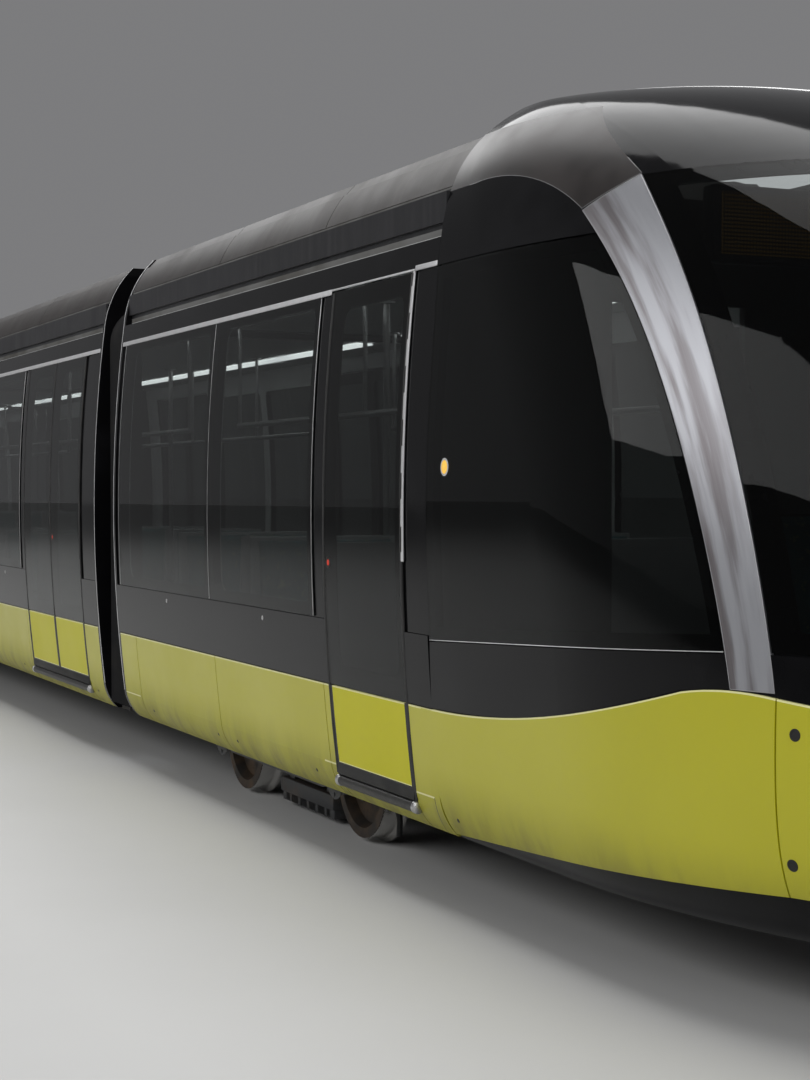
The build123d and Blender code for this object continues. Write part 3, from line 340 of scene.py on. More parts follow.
def dress(piece, finish, body):
    """Gives a finished piece its material, its smooth shading and the body it rides on."""
    only(piece)
    bpy.ops.object.transform_apply(location=True, rotation=True, scale=True)
    bpy.ops.object.shade_smooth_by_angle(angle=smooth_below)
    piece.data.materials.clear()
    piece.data.materials.append(finish.material)
    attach(piece, body)
    return piece


def joined(*pieces):
    """Makes one object of several, under the first one's name."""
    name = pieces[0].name
    only(*pieces)
    if len(pieces) > 1:
        bpy.ops.object.join()
    whole = bpy.context.object
    whole.name = name
    return whole


def copied(piece, move):
    """A copy of a piece with its own mesh, moved along."""
    only(piece)
    bpy.ops.object.duplicate()
    bpy.ops.transform.translate(value=move)
    bpy.ops.object.transform_apply(location=True, rotation=True, scale=True)
    return bpy.context.object


def mirrored(piece, axis):
    """A copy on the other side of the tram (Y) or at its other end (X)."""
    only(piece)
    bpy.ops.object.duplicate()
    edit()
    flip = [-1 if letter == axis else 1 for letter in "XYZ"]
    bpy.ops.transform.resize(value=flip, center_override=(0, 0, 0))
    return close()


def both_sides(*pieces):
    """Joins pieces of the near side with their mirror images on the far side."""
    near = joined(*pieces)
    return joined(near, mirrored(near, "Y"))


def both_ends(piece, finish, body):
    """Dresses a piece of the front half, and its mirror image in the rear half."""
    rear = mirrored(piece, "X")
    rear.name = piece.name.replace("front", "rear")
    dress(rear, finish, body.replace("front", "rear"))
    return dress(piece, finish, body)


def both_halves(piece, finish, car):
    """Dresses a piece of a car's front half: the centre car gets both halves, others both ends."""
    if car == "centre":
        return dress(joined(piece, mirrored(piece, "X")), finish, "centre_car")
    return both_ends(piece, finish, f"{car}_car")


def in_car(whole, finish, car):
    """Dresses a piece that spans its car, in the centre car or in both ends' cars."""
    if car == "centre":
        return [dress(whole, finish, "centre_car")]
    both_ends(whole, finish, f"{car}_car")
    return [whole, bpy.data.objects[whole.name.replace("front", "rear")]]


def block(name, low, high, bevel, segments=2):
    """A block between two corners with its edges rounded."""
    low, high = Vector(low), Vector(high)
    bpy.ops.mesh.primitive_cube_add(size=1, location=(low + high) / 2)
    piece = bpy.context.object
    piece.name = name
    piece.scale = high - low
    bpy.ops.object.transform_apply(location=True, rotation=True, scale=True)
    edit()
    bpy.ops.mesh.bevel(affect="EDGES", offset=bevel, segments=segments)
    bpy.ops.object.mode_set(mode="OBJECT")
    return piece


def chain(name, points):
    """A line of edges drawn vertex by vertex, left open in edit mode with all selected."""
    bpy.ops.mesh.primitive_plane_add(size=1)
    piece = bpy.context.object
    piece.name = name
    bpy.ops.object.mode_set(mode="EDIT")
    bpy.ops.mesh.select_mode(type="VERT")
    bpy.ops.mesh.merge(type="CENTER")
    bpy.ops.transform.translate(value=points[0])
    for before, after in zip(points, points[1:]):
        extrude(Vector(after) - Vector(before))
    bpy.ops.mesh.select_all(action="SELECT")
    return piece


def tube(name, points, radius, corner=0.0, sides=8):
    """A round bar or pipe through points, with its corners rounded."""
    chain(name, points)
    if corner:
        bpy.ops.mesh.bevel(affect="VERTICES", offset=corner, segments=5)
    bpy.ops.object.mode_set(mode="OBJECT")
    bpy.ops.object.convert(target="CURVE")
    piece = bpy.context.object
    piece.data.bevel_depth = radius
    piece.data.bevel_resolution = sides // 2 - 2
    piece.data.use_fill_caps = True
    bpy.ops.object.convert(target="MESH")
    bpy.ops.object.mode_set(mode="EDIT")
    weld()
    return close()


def turned(name, profile, centre, axis="Y", steps=24):
    """A turned piece: a profile of (distance along, radius) spun round an axis through a centre."""
    centre = Vector(centre)
    along = Vector([1.0 if letter == axis else 0.0 for letter in "XYZ"])
    across = Vector((1, 0, 0)) if axis != "X" else Vector((0, 1, 0))
    chain(name, [centre + along * reach + across * radius for reach, radius in profile])
    bpy.ops.mesh.spin(steps=steps, angle=math.tau, center=centre, axis=along)
    weld()
    return close()


bogie_paint = Finish("bogie_paint")
rust = bogie_paint.noise(7.0, detail=8).ramp(0.45, 0.75)
settled = bogie_paint.facing("Z").ramp(0.3, 0.9)
dusty = (rust * 0.6).either(settled * 0.5)
bogie_paint.put(
    base_color=bogie_paint.blend(dusty, (0.028, 0.029, 0.031), (0.1, 0.075, 0.055)),
    roughness=0.5 + 0.3 * dusty,
)
bogie_paint.bump(bogie_paint.noise(160), 0.0006)
paint(bogie_paint, *[f"{bogie}_frame" for bogie in bogies])

for bogie in bogies:
    for end in ("leading", "trailing"):
        wheelset = f"{bogie.removesuffix('_bogie')}_{end}_wheelset"
        steel = Finish(f"{wheelset}_steel", metallic=0.85)
        from_axle = (steel.place("X") - middle_of(wheelset, 0)) ** 2 + (steel.place("Z") - axle_z) ** 2
        tread = from_axle ** 0.5 > tread_radius - 0.004
        film = steel.noise(9.0, detail=8).ramp(0.35, 0.7)
        forged = steel.blend(film, (0.055, 0.05, 0.046), (0.13, 0.09, 0.06))
        steel.put(base_color=steel.blend(tread, forged, (0.5, 0.49, 0.47)), roughness=0.62 - 0.36 * tread)
        steel.bump(steel.noise(120), 0.0004)
        paint(steel, wheelset)

rubber = clouded(
    "black_rubber", (0.012, 0.012, 0.012), (0.03, 0.029, 0.027), 5, 6, (0.4, 0.8),
    grain=(400, 0.0002, 4), roughness=0.6, ior=1.4,
)

# Covers and brakes are made at the middle bogie and copied to the other two
cover_profile = (
    (0, 0), (0, 0.1), (-0.003, 0.105), (-0.005, 0.1), (-0.006, 0.062), (-0.009, 0.055),
    (-0.011, 0.04), (-0.011, 0),
)
bolt_profile = ((0, 0), (0, 0.011), (-0.004, 0.011), (-0.0055, 0.007), (-0.0055, 0))
bolt_seat = 0.0045
bolt_circle = 0.082
covers = []
for side_x in (axle_x, -axle_x):
    covers.append(turned("axle_cover", cover_profile, (side_x, -beam_outer_y, axle_z)))
    for count in range(6):
        angle = math.tau * (count + 0.5) / 6
        bolt_x = side_x + bolt_circle * math.cos(angle)
        bolt_z = axle_z + bolt_circle * math.sin(angle)
        bolt_at = (bolt_x, -beam_outer_y - bolt_seat, bolt_z)
        covers.append(turned("cover_bolt", bolt_profile, bolt_at, steps=6))
covers = both_sides(*covers)

brake_half = 0.36
rail_y = 0.7175
brakes = [
    block("track_brake", (-brake_half, -rail_y - 0.05, 0.075), (brake_half, -rail_y + 0.05, 0.15), 0.008)
]
for count in range(6):
    shoe_x = brake_half * (count - 2.5) / 3
    shoe_low = (shoe_x - 0.052, -rail_y - 0.04, 0.03)
    shoe_high = (shoe_x + 0.052, -rail_y + 0.04, 0.078)
    brakes.append(block("pole_shoe", shoe_low, shoe_high, 0.006))
hanger_profile = ((0.14, 0), (0.14, 0.022), (0.2, 0.022), (0.2, 0.034), (0.24, 0.034), (0.24, 0))
for hanger_x in (-0.3, 0.3):
    brakes.append(turned("brake_hanger", hanger_profile, (hanger_x, -rail_y, 0), "Z", 12))
brakes = both_sides(*brakes)

pipes = []
for side_x in (1, -1):
    pipe_points = [
        (side_x * 0.98, -0.87, 0.36), (side_x * 1.05, -0.78, 0.33), (side_x * 1.12, -0.75, 0.16),
        (side_x * 1.1, -0.745, 0.075),
    ]
    pipes.append(tube("sand_pipe", pipe_points, 0.014, 0.02))
pipes = both_sides(*pipes)

for bogie, bogie_middle in zip(bogies, (bogie_x, 0, -bogie_x)):
    for made, finish, name in (
        (covers, bogie_paint, "axle_covers"), (brakes, bogie_paint, "track_brakes"),
        (pipes, rubber, "sand_pipes"),
    ):
        piece = copied(made, (bogie_middle, 0, 0))
        piece.name = f"{bogie}_{name}"
        dress(piece, finish, bogie)
for made in (covers, brakes, pipes):
    bpy.data.objects.remove(made)

# Floors
# A welded underframe in dark wax coating, with speckled hard-wearing floor covering inside.
floor_paint = Finish("floor_and_underframe")
height = floor_paint.place("Z")
across = floor_paint.place("Y").size()
along = floor_paint.place("X").size()
top_face = floor_paint.facing("Z") > 0.7
inside = (height > 0.396) * (across < 1.09) * top_face
speck = floor_paint.noise(260, detail=2).ramp(0.56, 0.62)
worn = floor_paint.noise(1.4, detail=5).ramp(0.4, 0.75)
covering = floor_paint.blend(speck, (0.075, 0.08, 0.085), (0.2, 0.205, 0.21))
covering = floor_paint.blend(worn * 0.3, covering, (0.14, 0.135, 0.125))
wax = floor_paint.blend(floor_paint.noise(6, detail=6), (0.016, 0.016, 0.016), (0.05, 0.043, 0.036))
floor_paint.put(base_color=floor_paint.blend(inside, wax, covering), roughness=0.68 - 0.18 * inside)
floor_paint.bump(floor_paint.noise(90), 0.0006)
paint(floor_paint, *[f"{car}_floor" for car in cars])

# Skirts and nose panels
# Glass-fibre panels in lime paint, hung on hooks and held by small screws along the foot.
# Their paint is darker and duller towards the bottom, and their top edges carry a painted
# highlight, as do the notches beside the front door.
half_width = 1.2
side_radius = 8.8
waist_z = 1.52
skirt_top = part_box("centre_skirts")[1].z
skirt_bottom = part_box("centre_skirts")[0].z
body_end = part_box("front_walls")[1].x
door_low, door_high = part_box("front_doors")
notch_z = 0.452
edge_highlight_width = 0.006


def side_y(z):
    """Half-width of the barrel-shaped body side at a height."""
    return half_width - side_radius + math.sqrt(side_radius**2 - (z - waist_z) ** 2)


def arc_through(first, middle, last):
    """Centre and radius of the circle through three points of a side view."""
    (ax, az), (bx, bz), (cx, cz) = first, middle, last
    turn = 2 * (ax * (bz - cz) + bx * (cz - az) + cx * (az - bz))
    squares = [x**2 + z**2 for x, z in (first, middle, last)]
    centre_x = (squares[0] * (bz - cz) + squares[1] * (cz - az) + squares[2] * (az - bz)) / turn
    centre_z = (squares[0] * (cx - bx) + squares[1] * (ax - cx) + squares[2] * (bx - ax)) / turn
    return centre_x, centre_z, math.hypot(ax - centre_x, az - centre_z)


# The wave of the lime panels' top edge, measured ahead of the body's end
wave_low = (body_end - 0.1, skirt_top + 0.003)
wave_rise = (body_end + 0.76, 0.853)
wave_crest = (body_end + 1.65, 1.028)
wave_top = (body_end + 1.81, 1.046)
wave_seam = (body_end + 2.01, 1.036)
wave_tip = (body_end + 3.01, 0.93)


def lime_finish(name, wavy):
    """Lime paint, darker towards the bottom, with a painted highlight along its top edge and on
    the notches beside the front door.
    """
    finish = Finish(name, coat_weight=0.2, coat_roughness=0.1)
    height = finish.place("Z")
    along = finish.place("X").size()
    edge = skirt_top
    if wavy:
        dip_x, dip_z, dip_radius = arc_through(wave_low, wave_rise, wave_crest)
        hump_x, hump_z, hump_radius = arc_through(wave_crest, wave_top, wave_seam)
        dip = dip_z - (dip_radius**2 - (along - dip_x) ** 2) ** 0.5
        hump = hump_z + (hump_radius**2 - (along - hump_x) ** 2) ** 0.5
        slope = (wave_tip[1] - wave_seam[1]) / (wave_tip[0] - wave_seam[0])
        fall = wave_seam[1] + (along - wave_seam[0]) * slope
        on_dip = (along > wave_low[0]) * (along < wave_crest[0])
        on_hump = (along > wave_crest[0]) * (along < wave_seam[0])
        past = along > wave_seam[0]
        flat = along < wave_low[0]
        edge = flat * skirt_top + on_dip * dip + on_hump * hump + past * fall
    # A band along the top edge is painted lighter: a painted highlight.
    edge_highlight = (edge - height) < edge_highlight_width
    # The paint darkens and dulls towards the bottom, with streaks and a faint cloud added.
    low_darkening = 1 - height.ramp(skirt_bottom - 0.02, skirt_bottom + 0.3)
    streaks = finish.noise(11, detail=6, stretch=(1, 1, 0.12)).ramp(0.35, 0.75)
    cloud = finish.noise(1.6, detail=5).ramp(0.3, 0.7)
    darkening = low_darkening * 0.5 + low_darkening * streaks * 0.4 + cloud * 0.06
    paint_colour = finish.blend(darkening, (0.47, 0.445, 0.004), (0.15, 0.138, 0.014))
    if wavy:
        # Lines at the notches are painted lighter: a painted highlight.
        notch_highlight_band = height.near(notch_z, 0.0035)
        behind_door = (along < door_low.x) * (along > door_low.x - 0.145)
        ahead_of_door = (along > door_high.x) * (along < body_end - 0.05)
        at_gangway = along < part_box("front_skirts")[0].x + 0.29
        notch_highlight = notch_highlight_band * (behind_door + ahead_of_door + at_gangway)
        seam_turn = body_end - 0.05 - (notch_z - height) ** 2 * 1.6
        seam = (along - seam_turn).size() < 0.0025
        seam = seam * (height < notch_z)
        paint_colour = finish.blend(notch_highlight, paint_colour, (0.72, 0.7, 0.35))
        paint_colour = finish.blend(seam, paint_colour, (0.02, 0.02, 0.01))
    finish.put(
        base_color=finish.blend(edge_highlight, paint_colour, (0.78, 0.76, 0.36)),
        roughness=0.28 + 0.3 * low_darkening + 0.1 * cloud,
    )
    finish.bump(finish.noise(55, detail=2), 0.00012)
    return finish


lime = lime_finish("lime_paint", False)
paint(lime, "front_middle_skirts", "centre_skirts", "rear_middle_skirts")
wavy_lime = lime_finish("lime_nose_paint", True)
paint(wavy_lime, "front_skirts", "rear_skirts")

dark_steel = clouded(
    "dark_fittings", (0.03, 0.03, 0.03), (0.08, 0.078, 0.075), 40, metallic=0.7, roughness=0.42
)
bright_steel = Finish("brushed_steel", metallic=1.0)
brushing = bright_steel.noise(60, detail=3, stretch=(1, 1, 14))
bright_steel.put(
    base_color=bright_steel.blend(brushing, (0.42, 0.42, 0.42), (0.6, 0.6, 0.6)),
    roughness=0.24 + 0.14 * brushing,
)


def turned_on(node, x, z, profile, steps, name):
    """A turned piece seated on the near side of a CAD piece, facing the way its surface faces."""
    _, point, normal, _ = nodes[node].ray_cast(Vector((x, -3, z)), Vector((0, 1, 0)))
    piece = turned(name, profile, (0, 0, 0), "Z", steps)
    piece.rotation_euler = normal.to_track_quat("Z", "Y").to_euler()
    piece.location = point
    bpy.ops.object.transform_apply(location=True, rotation=True, scale=True)
    return piece


# Countersunk screws, with a dark recess in the middle of each head
screw_profile = (
    (0.0002, 0), (0.0002, 0.009), (0.0014, 0.0085), (0.0018, 0.005), (0.0008, 0.004), (0.0008, 0)
)
screw_z = 0.388
middle_x = middle_of("front_middle_seats", 0)
screw_xs = {
    "front": (9.626, 10.755, 11.049, 12.116, 13.55, 14.6),
    "front_middle": [middle_x + step for step in (-3.05, -1.5, -1.05, -0.15, 0.15, 1.05, 1.5, 3.05)],
    "centre": (0.15, 0.75, 0.95, 1.5),
}
for car, xs in screw_xs.items():
    name = f"{car}_skirt_screws"
    screws = [turned_on(f"{car}_skirts", x, screw_z, screw_profile, 10, name) for x in xs]
    both_halves(both_sides(*screws), dark_steel, car)

# Round covers over the towing and jacking points of the nose
plug_profile = ((0.0004, 0), (0.0004, 0.019), (0.002, 0.0175), (0.002, 0.013), (0.0006, 0.012), (0.0006, 0))
plugs = [
    turned_on("front_skirts", x, z, plug_profile, 20, "front_nose_plugs")
    for x, z in ((15.507, 0.938), (15.479, 0.556))
]
both_ends(both_sides(*plugs), rubber, "front_car")

# Side walls and hoops
# Aluminium side frames in black gloss paint outside, with a pale laminate lining inside.
# Small round locks close the flaps under the windows.


def side_depth(finish):
    """How deep a point lies inside the barrel-shaped body side."""
    across = finish.place("Y").size()
    height = finish.place("Z")
    return side_radius - ((across + (side_radius - half_width)) ** 2 + (height - waist_z) ** 2) ** 0.5


hoop_xs = (1.67, 2.13, 8.65, 9.11)
wall_thickness = 0.052
black_gloss = Finish("black_gloss", ior=1.3, specular_ior_level=0.3)
along = black_gloss.place("X").size()
lining = side_depth(black_gloss) > wall_thickness
for x in hoop_xs:
    lining = lining * (1 - along.near(x, 0.022))
film = black_gloss.noise(2.2, detail=6).ramp(0.45, 0.8)
black_film = black_gloss.blend(film, (0.0035, 0.0035, 0.004), (0.008, 0.008, 0.009))
laminate = black_gloss.blend(black_gloss.noise(3), (0.4, 0.41, 0.41), (0.47, 0.48, 0.48))
black_gloss.put(
    base_color=black_gloss.blend(lining, black_film, laminate),
    roughness=0.07 + 0.09 * film + 0.4 * lining,
)
black_gloss.bump(black_gloss.noise(30, detail=2), 0.00008)
paint(black_gloss, *[f"{car}_walls" for car in cars])

lock_profile = (
    (0.0002, 0), (0.0002, 0.011), (0.0016, 0.0105), (0.0022, 0.008), (0.001, 0.0065), (0.001, 0)
)
lock_z = 1.04
lock_xs = {"front": (10.098, 11.605), "front_middle": (middle_x - 0.75, middle_x + 0.75)}
for car, xs in lock_xs.items():
    name = f"{car}_flap_locks"
    locks = [turned_on(f"{car}_walls", x, lock_z, lock_profile, 16, name) for x in xs]
    both_halves(both_sides(*locks), bright_steel, car)


def swept(name, middle, size, centre, low_turn, high_turn, steps):
    """A small rectangle turned round a line along the tram, and swept on round it."""
    bpy.ops.mesh.primitive_plane_add(size=1, location=middle)
    piece = bpy.context.object
    piece.name = name
    piece.scale = (*size, 1)
    bpy.ops.object.transform_apply(location=True, rotation=True, scale=True)
    edit()
    bpy.ops.transform.rotate(value=low_turn, orient_axis="X", center_override=centre)
    bpy.ops.mesh.spin(steps=steps, angle=high_turn - low_turn, center=centre, axis=(1, 0, 0))
    return close()


def side_strip(name, x_low, x_high, z_low, z_high, sunk, proud, steps=10):
    """A strip that follows the near side's barrel from one height to another, with its edges rounded."""
    middle = ((x_low + x_high) / 2, -half_width - (proud - sunk) / 2, waist_z)
    size = (x_high - x_low, proud + sunk)
    centre = (0, side_radius - half_width, waist_z)
    low_turn = math.asin((z_low - waist_z) / side_radius)
    high_turn = math.asin((z_high - waist_z) / side_radius)
    piece = swept(name, middle, size, centre, low_turn, high_turn, steps)
    modify(piece, "BEVEL", width=min(0.0015, size[0] / 5, size[1] / 5), segments=2, limit_method="ANGLE")
    return piece


# Doors
# Plug doors: a black frame round bonded glass, with a lime panel below, black rubber along the
# edges that close, one push button to a doorway, and a round step edge with a knob at each end.
leaf = door_high.x - door_low.x
door_sill = door_low.z


def door_finish(name, leaves, lime_edges):
    """Black door paint with lime lower panels whose top and foot edges carry a painted highlight;
    leaves are middles, lime_edges the half-width.
    """
    finish = Finish(name, ior=1.25)
    along = finish.place("X").size()
    height = finish.place("Z")
    depth = side_depth(finish)
    panel = along.near(leaves[0], lime_edges)
    for middle in leaves[1:]:
        panel = panel + along.near(middle, lime_edges)
    panel_foot = door_sill + 0.055
    panel = panel * (height > panel_foot) * (height < skirt_top + 0.001) * (depth < 0.012)
    # The lime panels' top and foot edges are painted lighter: a painted highlight.
    edge_highlight = panel * ((height > skirt_top - edge_highlight_width) + (height < panel_foot + 0.004))
    cloud = finish.noise(2.0, detail=5).ramp(0.3, 0.8)
    lining = depth > 0.035
    black = finish.blend(lining * 0.5, (0.004, 0.004, 0.0045), (0.09, 0.09, 0.09))
    colour = finish.blend(cloud * 0.12, (0.56, 0.53, 0.008), (0.4, 0.37, 0.02))
    colour = finish.blend(edge_highlight, colour, (0.78, 0.76, 0.36))
    finish.put(base_color=finish.blend(panel, black, colour), roughness=0.16 + 0.14 * panel + 0.08 * cloud)
    finish.bump(finish.noise(55, detail=2), 0.0001)
    return finish


cab_leaf = middle_of("front_doors", 0)
paint(door_finish("cab_door_paint", (cab_leaf,), leaf / 2 - 0.026), "front_doors", "rear_doors")
wide_low, wide_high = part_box("front_middle_doors")
wide_leaf = 0.75
wide_leaves = [wide_low.x - 0.003 + wide_leaf * (count + 0.5) for count in range(2)]
wide_leaves += [wide_high.x + 0.003 - wide_leaf * (count + 0.5) for count in range(2)]
middle_door_paint = door_finish("middle_door_paint", wide_leaves, wide_leaf / 2 - 0.028)
paint(middle_door_paint, "front_middle_doors", "rear_middle_doors")

doorways = {
    "front": [(door_low.x - 0.003, door_high.x + 0.003)],
    "front_middle": [(wide_low.x - 0.003, wide_low.x + 1.497), (wide_high.x - 1.497, wide_high.x + 0.003)],
}
button_profile = (
    (0, 0), (0, 0.028), (0.004, 0.028), (0.006, 0.025), (0.006, 0.018), (0.0035, 0.016), (0.0035, 0)
)
light_profile = ((0.0036, 0), (0.0036, 0.013), (0.005, 0.011), (0.0056, 0))
knob_profile = (
    (-0.014, 0), (-0.014, 0.018), (-0.008, 0.027), (0.008, 0.027), (0.014, 0.018), (0.014, 0)
)
button_z = 1.33
seal_top = 2.488
foot_y = side_y(door_sill + 0.02)
step_z = door_sill - 0.026
step_y = side_y(step_z) - 0.006
button_ring = clouded(
    "button_ring", (0.02, 0.02, 0.02), (0.05, 0.05, 0.05), 30, 3, metallic=0.2, roughness=0.35
)
red_light = clouded(
    "door_light", (0.5, 0.02, 0.01), (0.6, 0.04, 0.02), 80,
    glow=((0.9, 0.04, 0.02), (1.0, 0.08, 0.03)), roughness=0.3, emission_strength=1.2,
)
for car, ways in doorways.items():
    seals = []
    steps = []
    knobs = []
    buttons = []
    lights = []
    for x_low, x_high in ways:
        edges = [x_low, x_high]
        button_x = x_low + 0.045
        if x_high - x_low > 1:
            edges.append((x_low + x_high) / 2)
            button_x = (x_low + x_high) / 2 + 0.045
        seals += [
            side_strip(f"{car}_door_rubber", x - 0.011, x + 0.011, door_sill + 0.004, seal_top, 0.006, 0.0012)
            for x in edges
        ]
        # Rubber along the foot of the leaf, and the rounded step edge under it
        foot_low = (x_low + 0.01, -foot_y - 0.004, door_sill + 0.002)
        foot_high = (x_high - 0.01, -foot_y + 0.004, door_sill + 0.05)
        seals.append(block("foot_rubber", foot_low, foot_high, 0.003))
        step_profile = (
            (x_low + 0.02, 0), (x_low + 0.02, 0.016), (x_low + 0.03, 0.024), (x_high - 0.03, 0.024),
            (x_high - 0.02, 0.016), (x_high - 0.02, 0),
        )
        steps.append(turned("step_edge", step_profile, (0, -step_y, step_z), "X", 20))
        for knob_x in (x_low + 0.012, x_high - 0.012):
            knobs.append(turned("step_knob", knob_profile, (knob_x, -step_y, step_z), "X", 16))
        buttons.append(turned_on(f"{car}_doors", button_x, button_z, button_profile, 24, "button"))
        lights.append(turned_on(f"{car}_doors", button_x, button_z, light_profile, 20, "light"))
    for made, finish, name in (
        (seals, rubber, "door_rubbers"),
        (steps, dark_steel, "door_steps"),
        (knobs, bright_steel, "step_knobs"),
        (buttons, button_ring, "door_buttons"),
        (lights, red_light, "button_lights"),
    ):
        whole = both_sides(*made)
        whole.name = f"{car}_{name}"
        both_ends(whole, finish, f"{car}_car")

# Windows
# Dark tinted double panes bonded over the pillars, with thin silver seals between them.
# A silver moulding runs above them, thinner over the door, and a silver rail edges the door.
tinted = clouded(
    "tinted_glass", (0.17, 0.185, 0.18), (0.13, 0.14, 0.14), 1.3, 7, (0.5, 0.85), (0.004, 0.05),
    roughness=0.0, ior=1.2, transmission_weight=1.0,
)
paint(tinted, *[f"{car}_windows" for car in cars])

glass_low = 1.09
glass_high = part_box("centre_windows")[1].z
silver_trim = clouded(
    "silver_trim", (0.62, 0.62, 0.63), (0.76, 0.76, 0.77), 25, 5, rough=(0.26, 0.16), metallic=0.5,
    ior=1.45,
)
pane_edge_xs = {
    "front": (9.203, 10.83, 12.257),
    "front_middle": (4.123, middle_x, 6.657),
    "centre": (0.0, 1.577),
}
for car, xs in pane_edge_xs.items():
    seals = [
        side_strip(f"{car}_pane_seals", x - 0.0025, x + 0.0025, glass_low, glass_high, 0.004, 0.0008)
        for x in xs
    ]
    both_halves(both_sides(*seals), bright_steel, car)

# Moulding: x from, x to, height, thickness
mouldings = {
    "front": (
        (9.135, door_low.x - 0.03, 2.493, 0.024), (door_low.x - 0.03, door_high.x + 0.02, 2.5, 0.008),
        (door_high.x + 0.03, body_end - 0.004, 2.505, 0.02),
    ),
    "front_middle": ((2.155, 8.625, 2.493, 0.024),),
    "centre": ((0.0, 1.645, 2.493, 0.024),),
}
for car, runs in mouldings.items():
    trims = [
        side_strip(f"{car}_moulding", x_low, x_high, z_mid - thick / 2, z_mid + thick / 2, 0.002, 0.004, 3)
        for x_low, x_high, z_mid, thick in runs
    ]
    if car == "front":
        rail_low = door_high.x + 0.004
        rail_high = door_high.x + 0.026
        trims.append(
            side_strip("door_rail", rail_low, rail_high, glass_low + 0.27, 2.496, 0.004, 0.0008, 16)
        )
    both_halves(both_sides(*trims), silver_trim, car)

# Roof
# A steel deck under glass-fibre equipment covers with axial fans, and along both sides a dark
# gutter below bronze-grey fairings. The underside is the saloon's pale ceiling.
shoulder_radius = 0.62
shoulder_z = 2.64
shoulder_turn = math.asin((shoulder_z - waist_z) / side_radius)
shoulder_y = side_y(shoulder_z) - shoulder_radius * math.cos(shoulder_turn)
shoulder_centre_z = shoulder_z - shoulder_radius * math.sin(shoulder_turn)
roof_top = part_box("front_walls")[1].z
cover_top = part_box("front_roof")[1].z

roof_paint = Finish("roof_paint", ior=1.3)
across = roof_paint.place("Y").size()
height = roof_paint.place("Z")
from_centre = ((across - shoulder_y) ** 2 + (height - shoulder_centre_z) ** 2) ** 0.5
gutter_low = 2.645
gutter_high = 2.79
fairing_low = 2.797
ceiling_below = 2.62
fairing = (height > fairing_low) * (from_centre > shoulder_radius - 0.02)
gutter = (height > gutter_low) * (height < gutter_high) * (across > 1.03)
ceiling = (height < ceiling_below) * (across < 1.1)
soot = roof_paint.noise(2.4, detail=7).ramp(0.35, 0.75)
rain = roof_paint.noise(18, detail=4, stretch=(1, 0.2, 0.06)).ramp(0.4, 0.8)
deck_colour = roof_paint.blend(soot, (0.19, 0.19, 0.185), (0.1, 0.095, 0.085))
fairing_colour = roof_paint.blend(rain * 0.6 + soot * 0.3, (0.018, 0.015, 0.014), (0.034, 0.029, 0.026))
gutter_colour = roof_paint.blend(rain, (0.018, 0.018, 0.02), (0.034, 0.033, 0.035))
ceiling_colour = roof_paint.blend(roof_paint.noise(4), (0.6, 0.61, 0.6), (0.66, 0.67, 0.66))
colour = roof_paint.blend(fairing, deck_colour, fairing_colour)
colour = roof_paint.blend(gutter, colour, gutter_colour)
roof_paint.put(
    base_color=roof_paint.blend(ceiling, colour, ceiling_colour),
    roughness=0.62 - 0.2 * fairing - 0.3 * gutter - 0.15 * ceiling + 0.1 * soot,
)
roof_paint.bump(roof_paint.noise(140, detail=3), 0.0002)
paint(roof_paint, *[f"{car}_roof" for car in cars])

# Fans: a ringed guard over five blades, made once and copied into each round well
unit_half = 0.76
well_radius = 0.36 * unit_half
guard = []
for count in range(6):
    bpy.ops.mesh.primitive_torus_add(
        major_radius=well_radius * (count + 1) / 6 - 0.006,
        minor_radius=0.0035,
        major_segments=32,
        minor_segments=6,
        location=(0, 0, cover_top - 0.006),
    )
    guard.append(bpy.context.object)
for count in range(4):
    turn = math.pi * count / 4
    end = Vector((math.cos(turn), math.sin(turn), 0)) * (well_radius - 0.004)
    lift = Vector((0, 0, cover_top - 0.01))
    guard.append(tube("guard_bar", (lift - end, lift + end), 0.004))
guard[0].name = "fan_guard"
guard = joined(*guard)
blades = [
    turned(
        "fan_blades", ((-0.04, 0), (-0.04, 0.06), (-0.016, 0.055), (-0.012, 0.03), (-0.012, 0)),
        (0, 0, cover_top), "Z", 20,
    ),
]
for count in range(5):
    blade = block(
        "blade", (0.05, -0.045, cover_top - 0.03), (well_radius - 0.02, 0.045, cover_top - 0.026), 0.0015, 1
    )
    only(blade)
    edit()
    bpy.ops.transform.rotate(value=0.22, orient_axis="X", center_override=(0, 0, cover_top - 0.028))
    bpy.ops.transform.rotate(value=math.tau * count / 5, orient_axis="Z", center_override=(0, 0, 0))
    bpy.ops.object.mode_set(mode="OBJECT")
    blades.append(blade)
blades = joined(*blades)
fan_places = {
    "front_car": [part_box("front_walls")[0].x + 0.31 + 1.9 * share for share in (0.25, 0.75)],
    "front_middle_car": [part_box("front_middle_walls")[0].x + 0.89 + 2.0 * share for share in (0.25, 0.75)],
}
for body, places in fan_places.items():
    for made, name in ((guard, "fan_guards"), (blades, "fan_blades")):
        whole = joined(*[copied(made, (x, 0, 0)) for x in places])
        whole.name = f"{body}_{name}"
        both_ends(whole, dark_steel, body)
for made in (guard, blades):
    bpy.data.objects.remove(made)

# Nose
# A black glass-fibre frame, with brushed silver arches either side of the windscreen, bronze
# hoods above them, and flush glass. Dark streaks on the arches are a painted reflection, the
# arch and hood edges carry fine bright beads as a painted highlight, and a fine silver edge runs
# low on the cab side glass.
nose_black = clouded(
    "nose_black", (0.0035, 0.0035, 0.004), (0.009, 0.009, 0.01), 1.8, 6, (0.4, 0.8), (0.08, 0.1),
    (24, 0.0001, 2), ior=1.3, specular_ior_level=0.3,
)
paint(nose_black, "front_nose_frame", "rear_nose_frame")

